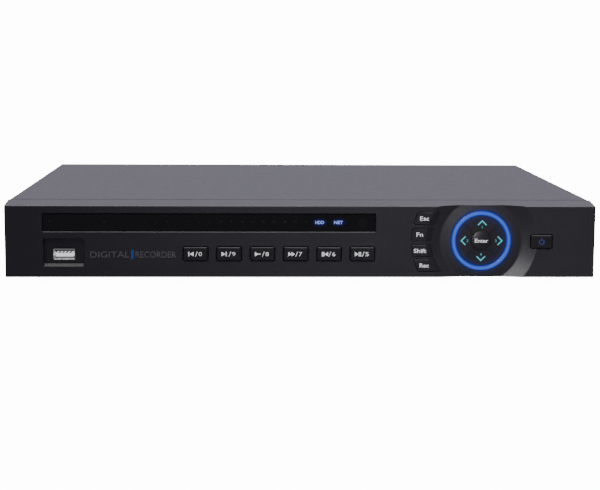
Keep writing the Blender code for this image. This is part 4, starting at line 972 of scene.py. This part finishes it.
def make_rear_panel():
    low, high = millimetres("rear_panel")
    panel = block(low, high)
    holes = []

    def window(centre, size, radius=0.8):
        holes.append(prism(rounded(centre, size, radius), "Y", low.y - 1, high.y + 1))

    for z in VIDEO_Z:
        for x in VIDEO_X:
            window((x, z), (12.8, 12.8), 6.39)
        for x in AUDIO_X:
            window((x, z), (10.0, 10.0), 4.99)
    for x in REAR_SCREW_X:
        window((x, SCREW_Z), (3.6, 3.6), 1.79)
    ground = middle("ground_screw")
    window((ground.x, ground.z), (4.6, 4.6), 2.29)
    for node, size in (
        ("vga_port", (31.6, 14.2)),
        ("hdmi_port", (16.0, 6.8)),
        ("lan_port", (17.0, 14.8)),
        ("rear_usb_port", (15.4, 17.0)),
        ("terminal_block", (36.0, 12.4)),
        ("dc_jack", (10.0, 12.2)),
        ("power_switch_frame", (13.2, 19.2)),
    ):
        centre = middle(node)
        window((centre.x, centre.z + 0.1), size)
    fan = middle("fan_frame")
    for row in range(-3, 4):
        z = 4.8 * row
        reach = math.sqrt(17.5**2 - z**2)
        for side in (-1, 1):
            window((fan.x + side * (reach + 1.2) / 2, fan.z + z), (reach - 1.2, 3.0), 1.45)
    cut(panel, *holes)
    eased(panel, 0.15, 2, 50)
    piece(panel, "back_plate", PAINT, "painted_steel", "rear_panel")


def make_video_sockets():
    """Bayonet sockets: barrels with lugs, insulators and centre contacts, on a dark housing."""
    low, high = VIDEO_BOX
    tip = high.y - BLOCK_FACE_Y
    floor = tip - 8.0
    profile = [(-0.4, 0.0), (-0.4, 6.1), (1.6, 6.1), (1.9, 5.9), (1.9, 4.75), (3.4, 4.75), (3.6, 4.55)]
    profile += [(tip - 2.5, 4.55), (tip - 2.3, 4.75), (tip - 0.2, 4.75), (tip, 4.6), (tip, 4.15)]
    profile += [(tip - 0.2, 4.0), (floor, 4.0), (floor, 0.0)]
    sleeve = [(floor, 1.1), (floor, 2.4), (tip - 1.6, 2.4), (tip - 1.4, 2.2), (tip - 1.4, 1.1)]
    pin = [(floor, 0.0), (floor, 1.0), (tip - 2.6, 1.0), (tip - 2.6, 0.45), (tip - 4.0, 0.4)]
    pin += [(tip - 4.0, 0.0)]
    barrels, insulators, pins = [], [], []
    for z in VIDEO_Z:
        for x in VIDEO_X:
            place = (x, BLOCK_FACE_Y, z)
            barrels.append(turned(profile, place, "Y", 48))
            insulators.append(turned(sleeve, place, "Y", 32))
            pins.append(turned(pin, place, "Y", 20))
            for start, end in ((-5.65, -4.3), (4.3, 5.65)):
                barrels.append(rod((x, high.y - 2.8, z), 0.95, start, end, "X", 20))
    piece(gathered(*barrels), "video_barrels", NICKEL, "socket_block")
    piece(gathered(*insulators), "video_insulators", WHITE, "white_nylon")
    piece(gathered(*pins), "video_contacts", GOLD, "socket_block")
    housing = block(low, (high.x, BLOCK_FACE_Y, high.z))
    cut(housing, block((low.x + 2, low.y + 2, low.z - 1), (high.x - 2, BLOCK_FACE_Y - 3.0, high.z - 2)))
    eased(housing, 0.4, 2)
    piece(housing, "video_housing", DARK, "socket_block", "video_input_block")


def make_audio_sockets():
    low, high = millimetres("audio_block")
    tip = high.y - BLOCK_FACE_Y
    barrel = [(-0.4, 2.4), (-0.4, 4.9), (1.2, 4.9), (1.4, 4.15), (tip - 0.2, 4.15), (tip, 4.0)]
    barrel += [(tip, 3.45), (tip - 0.2, 3.3), (1.2, 3.3), (1.2, 2.4)]
    insert = [(1.0, 1.7), (1.0, 3.2), (2.6, 3.2), (2.6, 2.3), (tip - 0.7, 2.3), (tip - 0.5, 2.1)]
    insert += [(tip - 0.5, 1.7)]
    for z, word, finish in zip(VIDEO_Z, ("lower", "upper"), (RED, WHITE)):
        barrels = [turned(barrel, (x, BLOCK_FACE_Y, z), "Y", 48) for x in AUDIO_X]
        piece(gathered(*barrels), f"audio_barrels_{word}", NICKEL, "nickel_plate")
        inserts = [turned(insert, (x, BLOCK_FACE_Y, z), "Y", 40) for x in AUDIO_X]
        piece(gathered(*inserts), f"audio_inserts_{word}", finish, "dark_plastic")
    housing = eased(block(low, (high.x, BLOCK_FACE_Y, high.z)), 0.4, 2)
    holes = [rod((x, BLOCK_FACE_Y, z), 1.7, -7.0, 1.0, "Y", 32) for x in AUDIO_X for z in VIDEO_Z]
    piece(cut(housing, *holes), "audio_housing", DARK, "dark_plastic", "audio_block")


def taper_outline(centre, top_half, bottom_half, half_height, radius=0.9):
    """The outline of a D-shaped shell, wider at its top, with round corners."""
    top, bottom = half_height, -half_height
    corners = [(top_half, top), (-top_half, top), (-bottom_half, bottom), (bottom_half, bottom)]
    outline = []
    for i, (x, z) in enumerate(corners):
        before, after = Vector(corners[i - 1]), Vector(corners[(i + 1) % 4])
        corner = Vector((x, z))
        start = corner + (before - corner).normalized() * radius
        end = corner + (after - corner).normalized() * radius
        for k in range(5):
            t = k / 4
            point = start * (1 - t) ** 2 + corner * 2 * t * (1 - t) + end * t**2
            outline.append((centre[0] + point.x, centre[1] + point.y))
    return outline


def make_vga():
    low, high = millimetres("vga_port")
    centre = ((low.x + high.x) / 2, low.z + 6.7)
    face = REAR_Y + GAP
    flange = prism(rounded(centre, (30.8, 12.5), 1.5), "Y", face - 1.2, face)
    body = block((centre[0] - 9.5, low.y, low.z), (centre[0] + 9.5, face - 1.0, centre[1] + 6.0))
    shell = cut(
        prism(taper_outline(centre, 8.2, 7.0, 4.1), "Y", face - 0.5, high.y),
        prism(taper_outline(centre, 7.8, 6.6, 3.7), "Y", face + 0.2, high.y + 1),
    )
    parts = [joined(flange, body), shell]
    for side in (-1, 1):
        x = centre[0] + side * 12.5
        nut = rod((x, face, centre[1]), 2.7, -0.3, 4.6, "Y", 6)
        parts.append(cut(eased(nut, 0.25, 2), rod((x, face, centre[1]), 1.3, 1.0, 6.0, "Y", 24)))
    piece(gathered(*parts), "vga_shell", NICKEL, "nickel_plate", "vga_port")
    insert = prism(taper_outline(centre, 7.7, 6.5, 3.6), "Y", face + 0.1, high.y - 1.2)
    holes = []
    for dz, shift in ((2.0, 0.0), (0.0, 0.65), (-2.0, 0.0)):
        for i in range(5):
            place = (centre[0] - 4.6 + shift + 2.3 * i, high.y - 1.2, centre[1] + dz)
            holes.append(rod(place, 0.45, -3.5, 1.0, "Y", 16))
    piece(cut(insert, *holes), "vga_insert", BLUE, "nickel_plate")


def make_rear_usb():
    low, high = millimetres("rear_usb_port")
    x = (low.x + high.x) / 2
    levels = (4.1, 11.6)
    outline = rounded(face_middle("rear_usb_port"), (high.x - low.x, high.z - low.z), 0.6)
    shell = prism(outline, "Y", low.y, high.y)
    mouths = [rounded((x, low.z + level), (13.2, 5.6), 0.4) for level in levels]
    cut(shell, *[prism(mouth, "Y", high.y - 11.0, high.y + 1) for mouth in mouths])
    piece(shell, "rear_usb_shell", NICKEL, "nickel_plate", "rear_usb_port")
    tongues, contacts = [], []
    for level in levels:
        z = low.z + level + 0.9
        tongues.append(eased(slab((x, z), (11.0, 1.9), high.y - 11.5, high.y - 1.0), 0.2, 2))
        for i in range(4):
            contacts.append(slab((x - 3.5 + USB_PITCH * i, z - 1.0), (1.0, 0.12), high.y - 9.0, high.y - 1.6))
    piece(gathered(*tongues), "rear_usb_tongues", DARK, "dark_plastic")
    piece(gathered(*contacts), "rear_usb_contacts", GOLD, "nickel_plate")


def make_video_output():
    """The small D-shaped digital video output."""
    low, high = millimetres("hdmi_port")
    x, z0 = (low.x + high.x) / 2, low.z
    right = [(7.5, 5.9), (7.5, 2.2), (5.6, 0.0)]
    outline = [(x + a, z0 + b) for a, b in right] + [(x - a, z0 + b) for a, b in reversed(right)]
    middle_z = z0 + 3.1
    inner = [(x + (a - x) * 0.94, middle_z + (b - middle_z) * 0.87) for a, b in outline]
    shell = eased(prism(outline, "Y", low.y, high.y), 0.25, 2, 50)
    cut(shell, prism(inner, "Y", high.y - 9.0, high.y + 1))
    piece(shell, "video_output_shell", NICKEL, "nickel_plate", "hdmi_port")
    tongue = eased(slab((x, middle_z + 0.2), (10.6, 1.3), high.y - 9.5, high.y - 1.2), 0.15, 2)
    piece(tongue, "video_output_tongue", DARK, "dark_plastic")
    places = [(x - 4.5 + i, middle_z - 0.5) for i in range(10)]
    contacts = [slab(place, (0.45, 0.12), high.y - 7.5, high.y - 1.8) for place in places]
    piece(gathered(*contacts), "video_output_contacts", GOLD, "nickel_plate")


def make_network_socket():
    low, high = millimetres("lan_port")
    x, z0 = (low.x + high.x) / 2, low.z
    outline = rounded(face_middle("lan_port"), (high.x - low.x, high.z - low.z), 0.5)
    shell = prism(outline, "Y", low.y, high.y)
    mouth = block((x - 5.95, high.y - 12.5, z0 + 3.4), (x + 5.95, high.y + 1, z0 + 11.6))
    latch = block((x - 3.2, high.y - 8.0, z0 + 1.4), (x + 3.2, high.y + 1, z0 + 4.0))
    lamps = [slab((x + side * 5.6, z0 + 1.7), (3.2, 2.0), high.y - 1.0, high.y + 1) for side in (-1, 1)]
    piece(cut(shell, mouth, latch, *lamps), "network_shell", NICKEL, "nickel_plate", "lan_port")
    for side, word, finish in ((-1, "green", GREEN_LAMP), (1, "amber", AMBER_LAMP)):
        lamp = eased(slab((x + side * 5.6, z0 + 1.7), (3.0, 1.8), high.y - 0.9, high.y - 0.05), 0.2, 2)
        piece(lamp, f"network_lamp_{word}", finish, "green_plastic")
    lining = cut(
        block((x - 5.94, high.y - 12.45, z0 + 3.42), (x + 5.94, high.y - 0.6, z0 + 11.58)),
        block((x - 5.6, high.y - 12.2, z0 + 3.0), (x + 5.6, high.y + 1.0, z0 + 11.25)),
    )
    piece(lining, "network_lining", DARK, "dark_plastic")
    slope = ((12.0, 11.1), (3.0, 11.1), (9.5, 8.9), (9.9, 9.1), (4.2, 10.8), (12.0, 10.8))
    slope = [(high.y - depth, z0 + height) for depth, height in slope]
    wires = []
    for i in range(8):
        wire_x = x - 3.57 + 1.02 * i
        wires.append(prism(slope, "X", wire_x - 0.22, wire_x + 0.22))
    piece(gathered(*wires), "network_contacts", GOLD, "nickel_plate")


def make_terminals():
    low, high = millimetres("terminal_block")
    z0, y1 = low.z, high.y
    body = block(low, high)
    step = block((low.x - 1, y1 - 3.0, z0 + 8.0), (high.x + 1, y1 + 1, z0 + 12.0))
    holes, screws, clamps = [], [], []
    for i in range(10):
        x = low.x + 3.5 * (i + 0.5)
        holes.append(prism(rounded((x, z0 + 4.4), (2.5, 3.2), 0.3, 3), "Y", y1 - 5.0, y1 + 1))
        holes.append(rod((x, y1 - 5.2, z0 + 11.0), 1.35, -1.5, 1.0, "Z", 24))
        holes.append(block((x + 1.65, y1 - 0.35, z0 - 1), (x + 1.85, y1 + 1, z0 + 9.0)))
        head = rod((x, y1 - 5.2, z0 + 11.0), 1.25, -1.4, -0.5, "Z", 24)
        screws.append(cut(head, block((x - 1.5, y1 - 5.35, z0 + 10.1), (x + 1.5, y1 - 5.05, z0 + 12.0))))
        clamps.append(slab((x, z0 + 3.3), (2.3, 0.8), y1 - 4.8, y1 - 1.0))
    cut(body, step, *holes)
    eased(body, 0.15, 2, 50)
    piece(body, "terminal_strip", GREEN, "green_plastic", "terminal_block")
    piece(gathered(*screws, *clamps), "terminal_screws", ZINC, "zinc_steel")


def make_jack():
    low, high = millimetres("dc_jack")
    x, z = (low.x + high.x) / 2, low.z + 6.4
    body = eased(block(low, high), 0.35, 2)
    mouth = [(-9.5, 0.0), (-9.5, 3.1), (-0.3, 3.1), (0.2, 3.5), (1.0, 3.5), (1.0, 0.0)]
    cut(body, turned(mouth, (x, high.y, z), "Y", 48))
    piece(body, "power_jack_body", DARK, "dark_plastic", "dc_jack")
    pin = turned([(-9.4, 0.0), (-9.4, 1.05), (-1.4, 1.05), (-1.0, 0.8), (-1.0, 0.0)], (x, high.y, z), "Y", 32)
    sleeve = turned([(-9.3, 2.7), (-9.3, 3.05), (-1.2, 3.05), (-1.2, 2.7)], (x, high.y, z), "Y", 48)
    piece(gathered(pin, sleeve), "power_jack_contacts", NICKEL, "nickel_plate")


def make_switch():
    low = millimetres("power_switch_frame")[0]
    centre = face_middle("power_switch_frame")
    outer_y = REAR_Y + GAP

    def bezel_outline(grow):
        return rounded(centre, (15.0 + 2 * grow, 21.0 + 2 * grow), 1.6 + grow)

    bezel = stacked(bezel_outline, [(0.0, 0.0), (0.9, 0.0), (1.35, -0.25), (1.5, -0.7)], outer_y)
    body = slab(centre, (12.4, 18.4), outer_y - 14.0, outer_y + 0.5)
    cavity = prism(rounded(centre, (9.8, 16.4), 0.5), "Y", outer_y - 9.5, outer_y + 3.0)
    pivot_y = REAR_Y - SHEET
    pivots = rod((centre[0], pivot_y, centre[1]), 1.25, -5.9, 5.9, "X", 24)
    tabs = [slab((centre[0], centre[1] + z), (4.8, 0.8), low.y, outer_y - 13.5) for z in (-5.0, 5.0)]
    frame_shape = joined(cut(joined(bezel, body), cavity, pivots), *tabs)
    piece(frame_shape, "switch_bezel", DARK, "dark_plastic", "power_switch_frame")
    lean = math.radians(11.0)
    half = 7.2  # half the paddle's height

    def leaning(y, z):
        return (
            pivot_y + y * math.cos(lean) - z * math.sin(lean),
            centre[1] + y * math.sin(lean) + z * math.cos(lean),
        )

    def paddle_face(z):
        return 1.5 + 1.1 * (z / half) ** 2

    outline = [leaning(-2.6, -5.4), leaning(2.6, -half)]
    for i in range(1, 8):
        z = -half + 2 * half * i / 8
        outline.append(leaning(paddle_face(z), z))
    outline += [leaning(2.6, half), leaning(-2.6, 5.4)]
    rocker = eased(prism(outline, "X", centre[0] - 4.5, centre[0] + 4.5), 0.3, 3, 50)
    joined(rocker, rod((centre[0], pivot_y, centre[1]), 1.0, -5.6, 5.6, "X", 24))
    piece(rocker, "rocker_paddle", KEY, "dark_plastic", "power_rocker", body="power_rocker")
    marks = []
    ring = arc((0.0, -4.4), 1.3, 0, 348, 29) + arc((0.0, -4.4), 0.85, 348, 0, 29)
    for flat in (bar(0.0, 4.4, 0.5, 2.4), ring):
        rows = []
        for lift in (0.02, 0.06):
            row = []
            for x, z in flat:
                y, up = leaning(paddle_face(z) + lift, z)
                row.append((centre[0] + x, y, up))
            rows.append(row)
        marks.append(loft(rows))
    piece(gathered(*marks), "rocker_marks", PRINT, "white_nylon", body="power_rocker")


def make_rear_print():
    """Plain numbers and words beside the sockets."""
    y = REAR_Y + INK
    words = []
    for row, z in enumerate(VIDEO_Z):
        for i, x in enumerate(VIDEO_X):
            number = str(8 - i + 8 * (1 - row))
            words.append(lettering(number, (x + 6.9, z + 6.9), 1.6, y, -1))
    for word, node, lift in (
        ("USB", "rear_usb_port", 10.8),
        ("LAN", "lan_port", 9.6),
        ("DC 12V", "dc_jack", 8.2),
        ("VIDEO OUT", "vga_port", 9.6),
        ("ALARM", "terminal_block", 8.4),
    ):
        centre = middle(node)
        words.append(lettering(word, (centre.x, centre.z + lift), 1.8, y, -1))
    words.append(lettering("AUDIO", (middle("audio_block").x, 28.5), 1.8, y, -1))
    piece(gathered(*words), "rear_print", PRINT, "white_nylon")


def finish_carried_nodes():
    """Materials for the CAD nodes that show as they are."""
    finishes = {
        "bottom_chassis": PAINT,
        "indicator_shroud": DARK,
        "ir_receiver": DARK,
        "key_board": LAMINATE,
        "mainboard": LAMINATE,
        "heat_sink": ALUMINIUM,
        "hard_drive": ALUMINIUM,
        "coin_cell": ZINC,
        "sata_cable": RED,
        "disk_power_cable": DARK,
        "front_ribbon": GREY,
        "fan_frame": DARK,
        "fan_rotor": DARK,
    }
    for name, finish in finishes.items():
        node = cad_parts[name]
        node.data.materials.clear()
        node.data.materials.append(finish)


# Studio


def make_camera():
    """A long lens, a little to the left of the middle and above the case."""
    pitch, yaw, roll = (math.radians(angle) for angle in (8.201, 1.965, 0.331))
    forward = Vector((math.sin(yaw) * math.cos(pitch), math.cos(yaw) * math.cos(pitch), -math.sin(pitch)))
    level = Vector((math.cos(yaw), -math.sin(yaw), 0.0))
    above = level.cross(forward)
    right = level * math.cos(roll) + above * math.sin(roll)
    up = above * math.cos(roll) - level * math.sin(roll)
    data = bpy.data.cameras.new("camera")
    data.lens = 86.73
    data.sensor_width = 36.0
    data.clip_start = 0.01
    data.clip_end = 50.0
    camera = bpy.data.objects.new("camera", data)
    turn = Matrix((right, up, -forward)).transposed().to_4x4()
    camera.matrix_world = Matrix.Translation((-0.0322, -1.0498, 0.1569)) @ turn
    bpy.context.scene.collection.objects.link(camera)
    bpy.context.scene.camera = camera


def add_lamp(name, data, place, target, power):
    """Hangs a lamp at a place, aimed at a target."""
    data.energy = power
    lamp = bpy.data.objects.new(name, data)
    lamp.location = place
    lamp.rotation_euler = (Vector(target) - Vector(place)).to_track_quat("-Z", "Y").to_euler()
    bpy.context.scene.collection.objects.link(lamp)


def add_panel(name, place, target, size, power):
    """A square lamp."""
    data = bpy.data.lights.new(name, "AREA")
    data.size = size
    add_lamp(name, data, place, target, power)


def add_spot(name, place, target, radius, angle, power):
    """A soft round lamp whose beam, angle degrees wide, fades from its middle."""
    data = bpy.data.lights.new(name, "SPOT")
    data.shadow_soft_size = radius
    data.spot_size = math.radians(angle)
    data.spot_blend = 1.0
    add_lamp(name, data, place, target, power)


def make_backdrop():
    """A round white floor that curves up into a wall, lit evenly by itself; the world lights the case."""
    wall, bend, height = 3.0, 0.9, 3.2
    drop = 0.0002  # below the feet
    profile = [(0.0, -drop)]
    for degrees in range(0, 91, 6):
        t = math.radians(degrees)
        profile.append((wall - bend + bend * math.sin(t), bend - bend * math.cos(t) - drop))
    profile.append((wall, height))
    work = bmesh.new()
    steps = 96
    rows = []
    for radius, z in profile:
        count = 1 if radius == 0.0 else steps
        angles = [2 * math.pi * i / steps for i in range(count)]
        row = [work.verts.new((radius * math.cos(t), radius * math.sin(t), z)) for t in angles]
        rows.append(row * steps if count == 1 else row)
    for first, second in zip(rows, rows[1:]):
        for i in range(steps):
            j = (i + 1) % steps
            work.faces.new(list(dict.fromkeys((first[i], second[i], second[j], first[j]))))
    mesh = bpy.data.meshes.new("backdrop")
    work.to_mesh(mesh)
    work.free()
    mesh.shade_smooth()
    white = surface("studio_white", (0.86, 0.86, 0.86), 0.9, vary=0.01, patch=0.5)
    shader = white.node_tree.nodes["Principled BSDF"]
    set_inputs(shader, Emission_Color=(1.0, 1.0, 1.0, 1.0), Emission_Strength=13.0)
    mesh.materials.append(white)
    backdrop = bpy.data.objects.new("backdrop", mesh)
    backdrop.visible_glossy = False
    backdrop.visible_diffuse = False
    bpy.context.scene.collection.objects.link(backdrop)


def make_world():
    """Dim in front of the case and bright behind it."""
    world = bpy.data.worlds.new("studio")
    world.use_nodes = True
    nodes, links = world.node_tree.nodes, world.node_tree.links
    place = nodes.new("ShaderNodeTexCoord")
    split = nodes.new("ShaderNodeSeparateXYZ")
    ramp = add_node(nodes, "MapRange", From_Min=-0.2, From_Max=0.9, To_Min=0.24, To_Max=0.88)
    ramp.interpolation_type = "SMOOTHSTEP"
    links.new(place.outputs["Generated"], split.inputs["Vector"])
    links.new(split.outputs["Y"], ramp.inputs["Value"])
    background = set_inputs(nodes["Background"], Color=(0.87, 0.835, 1.0, 1.0))
    links.new(ramp.outputs["Result"], background.inputs["Strength"])
    bpy.context.scene.world = world


def make_studio():
    make_backdrop()
    make_world()
    add_panel("overhead", (0.0, 0.1, 2.4), (0.0, 0.0, 0.0), 1.8, 70.0)
    socket = Vector((USB_X, FRONT_Y, USB_Z)) * MM
    add_panel("edge_light", socket + Vector((0.1, -0.62, 0.79)) * 1.5, socket, 0.5, 2.6)
    dial = Vector((DIAL_X, FRONT_Y, DIAL_Z)) * MM
    add_spot("key_light", dial + Vector((-0.29, -0.90, 0.32)) * 1.2, dial, 0.17, 15.0, 50.0)


make_camera()
make_fascia()
usb_emboss()
make_flat_keys()
make_side_keys()
make_pad_keys()
make_ring()
make_window()
make_legends()
make_window_marks()
make_name_line()
make_front_usb()
make_cover()
make_screws()
make_feet()
make_rear_panel()
make_video_sockets()
make_audio_sockets()
make_vga()
make_rear_usb()
make_video_output()
make_network_socket()
make_terminals()
make_jack()
make_switch()
make_rear_print()
finish_carried_nodes()
make_studio()
